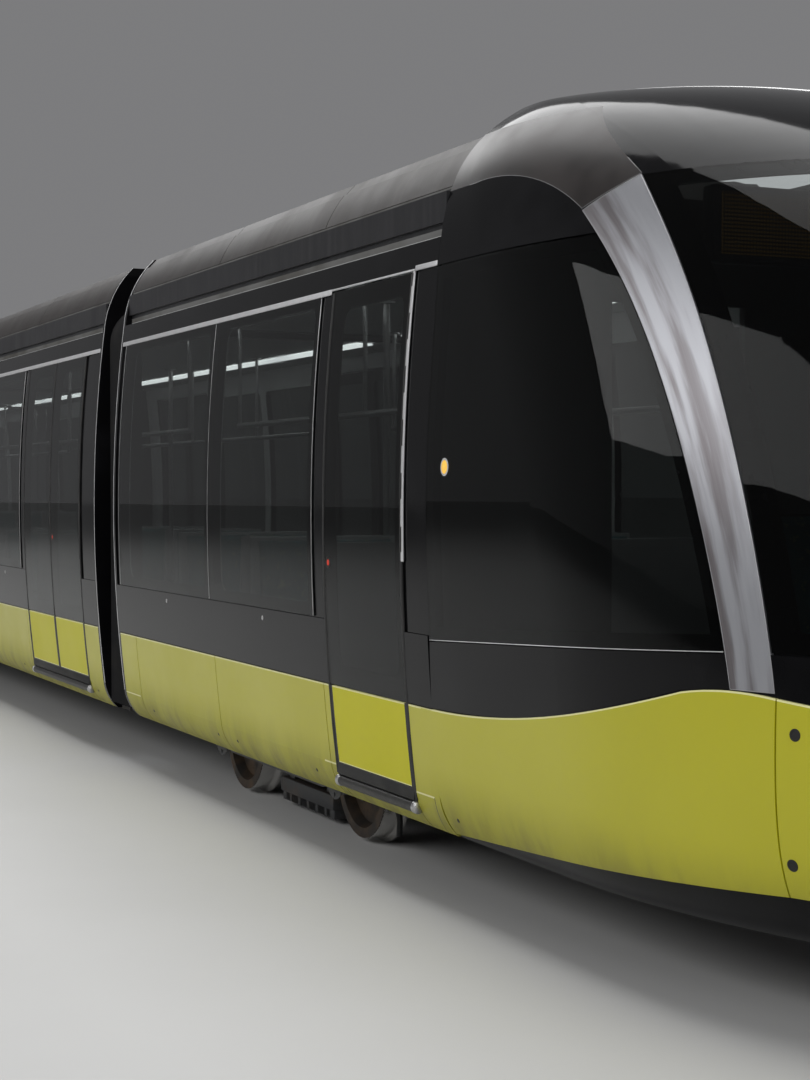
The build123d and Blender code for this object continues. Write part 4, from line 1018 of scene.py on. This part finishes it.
arch_rear = ((body_end + 0.94, 2.583), (body_end + 1.635, 1.7), (body_end + 1.843, 1.052))
arch_x, arch_z, arch_radius = arc_through(*arch_rear)
arch_silver = Finish("arch_silver", metallic=0.8, ior=1.45)
along = arch_silver.place("X").size()
height = arch_silver.place("Z")
in_from_edge = ((along - arch_x) ** 2 + (height - arch_z) ** 2) ** 0.5 - arch_radius
grain = arch_silver.add("ShaderNodeCombineXYZ", {}, {0: in_from_edge * 260, 1: height * 5, 2: along * 5})
brushing = arch_silver.add("ShaderNodeTexNoise", {}, {"Vector": grain, "Scale": 1.0, "Detail": 4.0})
# Dark streaks, strongest near the arch's rear edge, are a painted reflection.
reflection_at = arch_silver.add(
    "ShaderNodeCombineXYZ", {}, {0: in_from_edge * 16, 1: height * 1.3, 2: arch_silver.place("Y") * 3}
)
painted_reflection = arch_silver.add("ShaderNodeTexNoise", {}, {"Vector": reflection_at, "Scale": 1.0, "Detail": 5.0})
painted_reflection = painted_reflection.ramp(0.42, 0.62) * (1 - in_from_edge.ramp(0.05, 0.19) * 0.6)
silver_colour = arch_silver.blend(painted_reflection, (0.34, 0.345, 0.37), (0.12, 0.105, 0.11))
arch_silver.put(
    base_color=arch_silver.blend(brushing * 0.25, silver_colour, (0.45, 0.45, 0.46)),
    roughness=0.3 + 0.14 * brushing,
)
arch_silver.bump(brushing, 0.00006)
paint(arch_silver, "front_arches", "rear_arches")

bronze = clouded(
    "hood_bronze", (0.012, 0.01, 0.0095), (0.024, 0.019, 0.018), 2.6, 6, (0.35, 0.7), (0.3, 0.14),
    (500, 0.00003, 2), metallic=0.2, ior=1.35,
)
paint(bronze, "front_hoods", "rear_hoods")

screen = clouded(
    "windscreen_glass", (0.12, 0.13, 0.13), (0.09, 0.095, 0.095), 1.1, 6, (0.5, 0.9), (0.003, 0.05),
    ior=1.2, transmission_weight=1.0,
)
paint(screen, "front_windscreen", "rear_windscreen")


def cad_copy(name, node, select_type):
    """A copy of a CAD node with its points merged, open for editing with nothing selected."""
    piece = bpy.data.objects.new(name, nodes[node].data.copy())
    bpy.context.collection.objects.link(piece)
    only(piece)
    bpy.ops.object.mode_set(mode="EDIT")
    weld(0.00005)
    bpy.ops.mesh.select_mode(type=select_type)
    bpy.ops.mesh.select_all(action="DESELECT")
    return piece


def outer_beads(name, node, radius, wanted):
    """Fine beads along the sharp outer edges of a CAD piece, where both ends of an edge are wanted."""
    piece = cad_copy(name, node, "EDGE")
    bpy.ops.mesh.edges_select_sharp(sharpness=math.radians(50))
    bpy.ops.object.mode_set(mode="OBJECT")
    mesh = piece.data
    outward = set()
    for face in mesh.polygons:
        if face.normal.y * face.center.y > 0.004 and face.normal.length > 0:
            outward.update(face.edge_keys)
    for edge in mesh.edges:
        ends = [mesh.vertices[corner].co for corner in edge.vertices]
        edge.select = not (edge.select and edge.key in outward and all(wanted(end) for end in ends))
    bpy.ops.object.mode_set(mode="EDIT")
    bpy.ops.mesh.delete(type="EDGE_FACE")
    bpy.ops.mesh.select_all(action="SELECT")
    bpy.ops.mesh.delete(type="ONLY_FACE")
    bpy.ops.object.mode_set(mode="OBJECT")
    bpy.ops.object.convert(target="CURVE")
    bpy.context.object.data.bevel_depth = radius
    bpy.context.object.data.bevel_resolution = 0
    bpy.context.object.data.use_fill_caps = True
    bpy.ops.object.convert(target="MESH")
    return bpy.context.object


# Bright beads along the arch and hood edges are a painted highlight.
bead_highlight = clouded(
    "painted_highlight_beads", (0.3, 0.3, 0.31), (0.42, 0.42, 0.43), 20, metallic=0.6, roughness=0.35
)
seam_low = 1.18
for name, node, radius, finish, wanted in (
    ("front_arch_edges", "front_arches", 0.0014, bead_highlight, lambda at: True),
    ("front_hood_edges", "front_hoods", 0.001, bead_highlight, lambda at: at.x > body_end + 0.02),
    (
        "front_cab_glass_edge", "front_windows", 0.0012, silver_trim,
        lambda at: at.x > body_end and at.z < seam_low,
    ),
):
    both_ends(outer_beads(name, node, radius, wanted), finish, "front_car")

# Destination display: a flat panel of amber dots in a black box behind the windscreen. The
# display is unlit, and the dots' faint glow is painted light.
display_x = 14.79
display = block("front_display_box", (display_x - 0.07, -0.8, 2.38), (display_x, 0.8, 2.63), 0.01)
box_plastic = clouded("box_plastic", (0.008, 0.008, 0.008), (0.018, 0.018, 0.018), 30, roughness=0.45)
both_ends(display, box_plastic, "front_car")
panel = block("front_display", (display_x - 0.002, -0.77, 2.405), (display_x + 0.004, 0.77, 2.605), 0.002)
# The dots' faint glow is painted light: the display is unlit.
dots = Finish("display_dots", roughness=0.5, emission_strength=0.12)
dot_pitch = 0.0125
off_row = (dots.place("Y") % dot_pitch - dot_pitch / 2) ** 2
off_column = (dots.place("Z") % dot_pitch - dot_pitch / 2) ** 2
dot = (off_row + off_column) ** 0.5 < 0.0042
dots.put(
    base_color=dots.blend(dot, (0.004, 0.004, 0.004), (0.05, 0.032, 0.006)),
    emission_color=dots.blend(dot, (0, 0, 0), (0.5, 0.27, 0.02)),
)
both_ends(panel, dots, "front_car")


def on_screen(y, z, off):
    """A point in front of the windscreen or the nose, some way off its surface."""
    for node in ("front_windscreen", "front_skirts", "front_nose_frame"):
        hit, point, normal, _ = nodes[node].ray_cast(Vector((20, y, z)), Vector((-1, 0, 0)))
        if hit:
            return point + normal * off


# Wipers: a sprung arm and a rubber blade on each half of the windscreen
wipers = []
wiper_foot_z = 1.13
pivot_profile = ((-0.01, 0), (-0.01, 0.024), (0.02, 0.024), (0.028, 0.016), (0.028, 0))
for foot_y, top_y in ((-0.42, -0.5), (0.3, 0.22)):
    heights = [1.25 + 0.11 * count for count in range(8)]
    blade_points = [on_screen(top_y + 0.02 * (z - 1.6), z, 0.012) for z in heights]
    wipers.append(tube("front_wipers", blade_points, 0.006, 0, 6))
    arm_points = [
        on_screen(foot_y + (top_y - foot_y) * share, wiper_foot_z + 0.5 * share, 0.024)
        for share in (0, 0.35, 0.7, 1)
    ]
    wipers.append(tube("wiper_arm", arm_points, 0.008, 0, 6))
    wipers.append(turned("wiper_pivot", pivot_profile, on_screen(foot_y, wiper_foot_z, 0.0), "X", 16))
both_ends(joined(*wipers), dark_steel, "front_car")

# Amber marker lamps flush with the cab side glass
marker_at = (body_end + 0.169, 1.726)
marker_lens = ((-0.002, 0), (-0.002, 0.026), (0.0002, 0.026), (0.0012, 0.02), (0.0014, 0))
marker_ring = (
    (-0.002, 0.026), (0.0006, 0.026), (0.001, 0.031), (0.0002, 0.034), (-0.002, 0.034), (-0.002, 0.026)
)
amber = clouded(
    "amber_lens", (0.75, 0.35, 0.02), (0.9, 0.6, 0.1), 90, 2,
    glow=((0.8, 0.36, 0.03), (1.0, 0.7, 0.2)), roughness=0.15, emission_strength=0.5,
)
for name, profile, finish in (
    ("front_marker_lens", marker_lens, amber), ("front_marker_ring", marker_ring, silver_trim)
):
    both_ends(both_sides(turned_on("front_windows", *marker_at, profile, 24, name)), finish, "front_car")

# Headlamps: a clear cover over three reflector bowls in a dark housing on each side
clear_cover = clouded(
    "lamp_cover", (0.9, 0.92, 0.93), (0.97, 0.98, 0.98), 3, roughness=0.01, ior=1.35,
    transmission_weight=1.0,
)
housing_plastic = clouded(
    "lamp_housing", (0.02, 0.02, 0.022), (0.05, 0.05, 0.055), 20, metallic=0.3, roughness=0.3
)
chrome = clouded(
    "lamp_reflector", (0.75, 0.75, 0.76), (0.85, 0.85, 0.86), 60, rough=(0.08, 0.06), metallic=1.0
)
bowl_profile = (
    (-0.026, 0), (-0.026, 0.012), (-0.014, 0.03), (0.0, 0.04), (0.002, 0.042), (-0.002, 0.043),
    (-0.028, 0.014), (-0.028, 0),
)
bowls = []
bowl_z = 0.69
for bowl_y in (-0.585, -0.66, -0.735):
    _, point, normal, _ = nodes["front_lamps"].ray_cast(Vector((20, bowl_y, bowl_z)), Vector((-1, 0, 0)))
    seat = point - normal * 0.012 - Vector((0.012, 0, 0))
    bowls.append(turned("front_lamp_bowls", bowl_profile, seat, "X", 24))
both_ends(both_sides(*bowls), chrome, "front_car")
for keep_outer, name, finish, wall in (
    (True, "front_lamp_covers", clear_cover, 0.004), (False, "front_lamp_housings", housing_plastic, 0.003)
):
    piece = cad_copy(name, "front_lamps", "FACE")
    bpy.ops.object.mode_set(mode="OBJECT")
    for face in piece.data.polygons:
        outer = face.normal.x > 0.15 and abs(face.normal.y) > 0.3
        face.select = outer != keep_outer
    bpy.ops.object.mode_set(mode="EDIT")
    bpy.ops.mesh.delete(type="FACE")
    bpy.ops.object.mode_set(mode="OBJECT")
    modify(piece, "SOLIDIFY", thickness=wall, offset=-1)
    both_ends(piece, finish, "front_car")
    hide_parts("front_lamps")
    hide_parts("rear_lamps")

# Gangways
# Folded rubber-coated bellows between black hoops, with a lining inside, and a bright metal
# edge round each hoop.
bellows_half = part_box("front_middle_bellows")[1].y
bellows_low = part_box("front_middle_bellows")[0].z
bellows_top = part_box("front_middle_bellows")[1].z
bellows_rubber = clouded(
    "bellows_rubber", (0.008, 0.008, 0.009), (0.022, 0.021, 0.02), 5, 7, (0.4, 0.8), (0.6, 0.2),
    (600, 0.0002, 2), ior=1.3,
)
lining_cloth = clouded(
    "bellows_lining", (0.13, 0.13, 0.135), (0.2, 0.2, 0.205), 300, 2, grain=(300, 0.0002, 2),
    roughness=0.8,
)


def bellows(name, x_low, x_high, half, top, corner, depth, folds, wall):
    """A folded sheet up one side, over the top and down the other, from one hoop to the next."""
    pitch = (x_high - x_low) / (2 * folds)
    points = []
    for count in range(2 * folds + 1):
        fold_y = -half + (depth if count % 2 else 0)
        points.append((x_low + count * pitch, fold_y, bellows_low))
    piece = chain(name, points)
    side_height = top - corner - bellows_low
    centre_y = half - corner
    extrude((0, 0, side_height))
    bpy.ops.mesh.spin(steps=8, angle=math.pi / 2, center=(0, -centre_y, top - corner), axis=(1, 0, 0))
    extrude((0, 2 * centre_y, 0))
    bpy.ops.mesh.spin(steps=8, angle=math.pi / 2, center=(0, centre_y, top - corner), axis=(1, 0, 0))
    extrude((0, 0, -side_height))
    weld()
    bpy.ops.mesh.subdivide(number_cuts=1)
    close()
    modify(piece, "SOLIDIFY", thickness=wall, offset=0)
    return piece


centre_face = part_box("centre_walls")[1].x
middle_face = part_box("front_middle_walls")
front_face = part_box("front_walls")[0].x
gangways = (
    ("inner", "centre_car", centre_face, "middle_car", middle_face[0].x),
    ("outer", "middle_car", middle_face[1].x, "car", front_face),
)
for place, body_low, x_low, body_high, x_high in gangways:
    for end, sign in (("front", 1), ("rear", -1)):
        low_body = body_low if body_low == "centre_car" else f"{end}_{body_low}"
        for kind, finish, half, top, corner, depth, folds in (
            ("bellows", bellows_rubber, bellows_half - 0.003, bellows_top - 0.003, 0.24, 0.045, 7),
            ("lining", lining_cloth, 1.052, 2.625, 0.1, 0.016, 14),
        ):
            piece = bellows(f"front_{place}_{kind}", x_low, x_high, half, top, corner, depth, folds, 0.003)
            if end == "rear":
                whole = mirrored(piece, "X")
                bpy.data.objects.remove(piece)
                piece = whole
                piece.name = f"rear_{place}_{kind}"
            dress(piece, finish, low_body)
            piece.parent = None
            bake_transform(piece)
            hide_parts(f"{end}_middle_bellows")


hoop_foot_z = 0.46
top_turn = math.asin((roof_top - shoulder_centre_z) / shoulder_radius)


def hoop_edge(name, x):
    """A bright edge up the barrel and round the roof shoulder of one hoop on the near side."""
    low = side_strip(name, x - 0.004, x + 0.004, hoop_foot_z, shoulder_z, 0.003, 0.0008, 14)
    middle = (x, -shoulder_y - shoulder_radius + 0.001, shoulder_centre_z)
    centre = (0, -shoulder_y, shoulder_centre_z)
    high = swept("shoulder_edge", middle, (0.008, 0.004), centre, shoulder_turn, top_turn, 10)
    return joined(low, high)


hoop_edge_xs = {
    "front": (front_face + 0.006,),
    "front_middle": (middle_face[0].x + 0.006, middle_face[1].x - 0.006),
    "centre": (centre_face - 0.006,),
}
for car, xs in hoop_edge_xs.items():
    edges = [hoop_edge(f"{car}_hoop_edges", x) for x in xs]
    both_halves(both_sides(*edges), silver_trim, car)

# Seats
# Pairs of moulded shells on plinths with cloth cushions, facing each other in bays, and steel
# poles between them. The cushions are swollen as cloth over their filling once, and copied.
seat_cloth = Finish("seat_cloth", roughness=0.85)
thread = seat_cloth.noise(420, detail=2).ramp(0.4, 0.6)
fleck = seat_cloth.noise(38, detail=2).ramp(0.6, 0.64)
seat_colour = seat_cloth.blend(thread, (0.02, 0.1, 0.11), (0.035, 0.15, 0.16))
seat_cloth.put(base_color=seat_cloth.blend(fleck * 0.6, seat_colour, (0.3, 0.33, 0.12)))
seat_cloth.bump(thread, 0.0004)
seat_shell = clouded("seat_shell", (0.3, 0.31, 0.31), (0.36, 0.37, 0.37), 3, 5, roughness=0.38)


def prism(name, outline, y_low, y_high, bevel=0.006):
    """A closed outline of (x, z) carried across the tram, with its edges rounded."""
    piece = chain(name, [(x, y_low, z) for x, z in outline])
    bpy.ops.mesh.edge_face_add()
    extrude((0, y_high - y_low, 0))
    close()
    modify(piece, "BEVEL", width=bevel, segments=2, limit_method="ANGLE")
    return piece


def stuffed(name, outline, y_low, y_high, cap, share):
    """A cushion: a rounded outline swollen as cloth over its filling, by no more than a cap."""
    piece = prism(name, outline, y_low, y_high, 0.01)
    piece.data.remesh_voxel_size = 0.009
    bpy.ops.object.voxel_remesh()
    before = [point.co.copy() for point in piece.data.vertices]
    cloth = piece.modifiers.new("filling", "CLOTH")
    cloth.settings.use_pressure = True
    cloth.settings.uniform_pressure_force = 4
    cloth.settings.effector_weights.gravity = 0
    for count in range(1, 16):
        bpy.context.scene.frame_set(count)
    bpy.ops.object.modifier_apply(modifier="filling")
    bpy.context.scene.frame_set(1)
    for point, start in zip(piece.data.vertices, before):
        move = point.co - start
        if move.length > cap:
            point.co = start + move * (cap / move.length)
    modify(piece, "DECIMATE", ratio=share)
    return piece


pad_half = 0.1775
pad_centre = 0.184
seat_outline = ((0.098, -0.045), (0.446, -0.03), (0.446, -0.006), (0.42, -0.004), (0.112, -0.016))
back_outline = ((0.072, -0.03), (0.104, -0.022), (0.06, 0.466), (0.03, 0.47))
seat_pad = stuffed("seat_pad", seat_outline, -pad_half, pad_half, 0.009, 0.1)
back_pad = stuffed("back_pad", back_outline, -pad_half, pad_half, 0.009, 0.1)
bay_inner_y = 0.3
pole_y = 0.317
pole_top = 2.604
# Car, node, middle of its bays, plinth foot, seat height, pole foot, and each row's back and facing
seat_cars = (
    ("front", bogie_x, 0.73, 0.93, 0.481, ((-1.1, 1), (-0.05, -1), (0.05, 1), (1.1, -1))),
    ("front_middle", middle_x, 0.4, 0.85, 0.401, ((-1.19, 1), (-0.1, -1), (0.1, 1), (1.19, -1))),
    ("centre", 0.0, 0.73, 0.93, 0.481, ((-1.1, 1), (-0.05, -1), (0.05, 1), (1.1, -1))),
)
for car, bay_x, plinth_z, seat_z, pole_foot, rows in seat_cars:
    node = f"{car}_seats"
    bay_outer_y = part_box(node)[1].y
    plinth_z += 0.001
    shells = []
    pads = []
    for back_x, facing in rows:
        at = bay_x + back_x
        outline = (
            (0.04, plinth_z), (0.33, plinth_z), (0.38, seat_z - 0.09), (0.45, seat_z - 0.06),
            (0.45, seat_z - 0.034), (0.07, seat_z - 0.05), (0.022, seat_z + 0.478),
            (0.001, seat_z + 0.478), (0.02, seat_z - 0.08),
        )
        outline = [(at + facing * reach, z) for reach, z in outline]
        shells.append(prism(f"{car}_seat_shells", outline, -bay_outer_y + 0.002, -bay_inner_y - 0.002))
        for made in (seat_pad, back_pad):
            for side in (-1, 1):
                place_y = -(bay_inner_y + bay_outer_y) / 2 + side * pad_centre
                if facing > 0:
                    pads.append(copied(made, (at, place_y, seat_z)))
                else:
                    turned_pad = mirrored(made, "X")
                    pads.append(copied(turned_pad, (at, place_y, seat_z)))
                    bpy.data.objects.remove(turned_pad)
    pads[0].name = f"{car}_seat_pads"
    groups = [(both_sides(*shells), seat_shell), (both_sides(*pads), seat_cloth)]
    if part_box(node)[1].z > 2:
        pole_profile = (
            (pole_foot, 0), (pole_foot, 0.045), (pole_foot + 0.01, 0.045), (pole_foot + 0.014, 0.0175),
            (pole_top - 0.014, 0.0175), (pole_top - 0.01, 0.045), (pole_top, 0.045), (pole_top, 0),
        )
        pole = turned(f"{car}_poles", pole_profile, (bay_x, -pole_y, 0), "Z", 16)
        groups.append((both_sides(pole), bright_steel))
    for whole, finish in groups:
        for piece, replaced in zip(in_car(whole, finish, car), (node, node.replace("front", "rear"))):
            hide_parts(replaced)
for made in (seat_pad, back_pad):
    bpy.data.objects.remove(made)

# Saloon fittings
# Two rows of lit ceiling strips, and steel handrails hung below the ceiling along the aisle.
strip_light = clouded(
    "ceiling_light", (0.8, 0.8, 0.8), (0.9, 0.9, 0.9), 3,
    glow=((0.95, 0.97, 1.0), (1.0, 1.0, 1.0)), roughness=0.5, emission_strength=4.0,
)
ceiling_z = 2.604
rail_z = 2.02
handrail_y = 0.5
rail_hanger = (
    (rail_z, 0), (rail_z, 0.012), (ceiling_z - 0.012, 0.012), (ceiling_z - 0.008, 0.035),
    (ceiling_z, 0.035), (ceiling_z, 0),
)
saloons = (
    ("front", front_face + 0.15, body_end - 0.2),
    ("front_middle", middle_face[0].x + 0.15, middle_face[1].x - 0.15),
    ("centre", -centre_face + 0.15, centre_face - 0.15),
)
for car, x_low, x_high in saloons:
    strip_low = (x_low, -0.72, ceiling_z - 0.014)
    strip = block(f"{car}_ceiling_lights", strip_low, (x_high, -0.6, ceiling_z - 0.001), 0.004)
    rail_ends = [(x_low + 0.1, -handrail_y, rail_z), (x_high - 0.1, -handrail_y, rail_z)]
    rails = [tube(f"{car}_handrails", rail_ends, 0.016)]
    hangers = max(2, round((x_high - x_low) / 1.3))
    for count in range(hangers):
        hanger_x = x_low + 0.12 + (x_high - x_low - 0.24) * count / (hangers - 1)
        rails.append(turned("hanger", rail_hanger, (hanger_x, -handrail_y, 0), "Z", 12))
    strips = both_sides(strip)
    handrails = both_sides(*rails)
    in_car(strips, strip_light, car)
    in_car(handrails, bright_steel, car)

# Cab interior
# A pale rear wall, a dark desk with a screen, a handle and round switches, and the driver's seat
# with swollen pads over its cushion and back.
cab_plastic = Finish("cab_plastic")
wall_part = cab_plastic.place("X").size() < body_end - 0.09
grain = cab_plastic.noise(200, detail=3)
desk_colour = cab_plastic.blend(grain, (0.02, 0.021, 0.023), (0.04, 0.04, 0.042))
cab_plastic.put(
    base_color=cab_plastic.blend(wall_part, desk_colour, (0.12, 0.125, 0.125)), roughness=0.55
)
cab_plastic.bump(grain, 0.0002)
paint(cab_plastic, "front_cab_interior", "rear_cab_interior")
seat_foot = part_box("front_cab_interior")[0].z
pad_outlines = {
    "front_driver_cushion": ((0.75, 0.372), (1.208, 0.392), (1.21, 0.5), (0.80, 0.49)),
    "front_driver_back": ((0.72, 0.4), (0.83, 0.47), (0.7, 1.158), (0.58, 1.138)),
}
for name, outline in pad_outlines.items():
    outline = [(body_end + reach, seat_foot + height) for reach, height in outline]
    pad = stuffed(name, outline, -0.26, 0.26, 0.014, 0.2)
    both_ends(pad, seat_cloth, "front_car")


def on_desk(x, y):
    """A point on top of the driver's desk."""
    _, point, _, _ = nodes["front_cab_interior"].ray_cast(Vector((x, y, 1.9)), Vector((0, 0, -1)))
    return point


screen_x = 15.2
handle_x = 15.1
switch_x = 15.02
desk_at = on_desk(screen_x, 0)
screen_low = desk_at + Vector((-0.03, -0.17, -0.004))
fittings = [block("front_desk_fittings", screen_low, desk_at + Vector((0, 0.17, 0.16)), 0.008)]
handle_profile = (
    (-0.005, 0), (-0.005, 0.03), (0.012, 0.028), (0.014, 0.009), (0.07, 0.009), (0.074, 0.022),
    (0.1, 0.022), (0.106, 0.012), (0.106, 0),
)
switch_profile = ((-0.002, 0), (-0.002, 0.012), (0.008, 0.01), (0.008, 0))
for handle_y in (-0.36, 0.36):
    fittings.append(turned("desk_handle", handle_profile, on_desk(handle_x, handle_y), "Z", 16))
    for count in range(4):
        switch_at = on_desk(switch_x, handle_y - 0.12 + 0.08 * count)
        fittings.append(turned("desk_switch", switch_profile, switch_at, "Z", 12))
both_ends(joined(*fittings), box_plastic, "front_car")

# Pantograph
# A steel frame in pale grey paint, greyed by soot, with aluminium horns, dark carbon strips, and
# ribbed silicone insulators under its base.
strip_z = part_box("pantograph_head")[1].z
arm_paint = clouded(
    "pantograph_paint", (0.3, 0.31, 0.32), (0.11, 0.1, 0.095), 9, 7, (0.4, 0.8), (0.4, 0.3)
)
paint(arm_paint, "pantograph_lower_arm", "pantograph_upper_arm")
head_metal = Finish("pantograph_head_metal")
height = head_metal.place("Z")
across = head_metal.place("Y").size()
carbon = (height > strip_z - 0.026) * (across < 0.72)
scuffs = head_metal.noise(60, detail=4, stretch=(1, 0.1, 1))
metal_colour = head_metal.blend(scuffs, (0.34, 0.34, 0.35), (0.5, 0.5, 0.5))
carbon_colour = head_metal.blend(scuffs, (0.015, 0.015, 0.016), (0.05, 0.048, 0.046))
head_metal.put(
    base_color=head_metal.blend(carbon, metal_colour, carbon_colour),
    metallic=0.8 - 0.8 * carbon,
    roughness=0.35 + 0.2 * carbon,
)
paint(head_metal, "pantograph_head")
silicone = clouded(
    "insulator_silicone", (0.16, 0.05, 0.035), (0.21, 0.09, 0.07), 14, 5, roughness=0.5
)
insulator_low = 2.805
insulator_high = 2.935
sheds = [(insulator_low, 0), (insulator_low, 0.048)]
for count in range(4):
    shed_z = insulator_low + 0.012 + (insulator_high - insulator_low - 0.02) * count / 4
    sheds += [(shed_z, 0.048), (shed_z + 0.006, 0.078), (shed_z + 0.01, 0.078), (shed_z + 0.02, 0.048)]
sheds += [(insulator_high, 0.048), (insulator_high, 0)]
insulators = [turned("centre_insulators", sheds, (x, -0.42, 0), "Z", 20) for x in (-0.87, 0.65)]
dress(both_sides(*insulators), silicone, "centre_car")
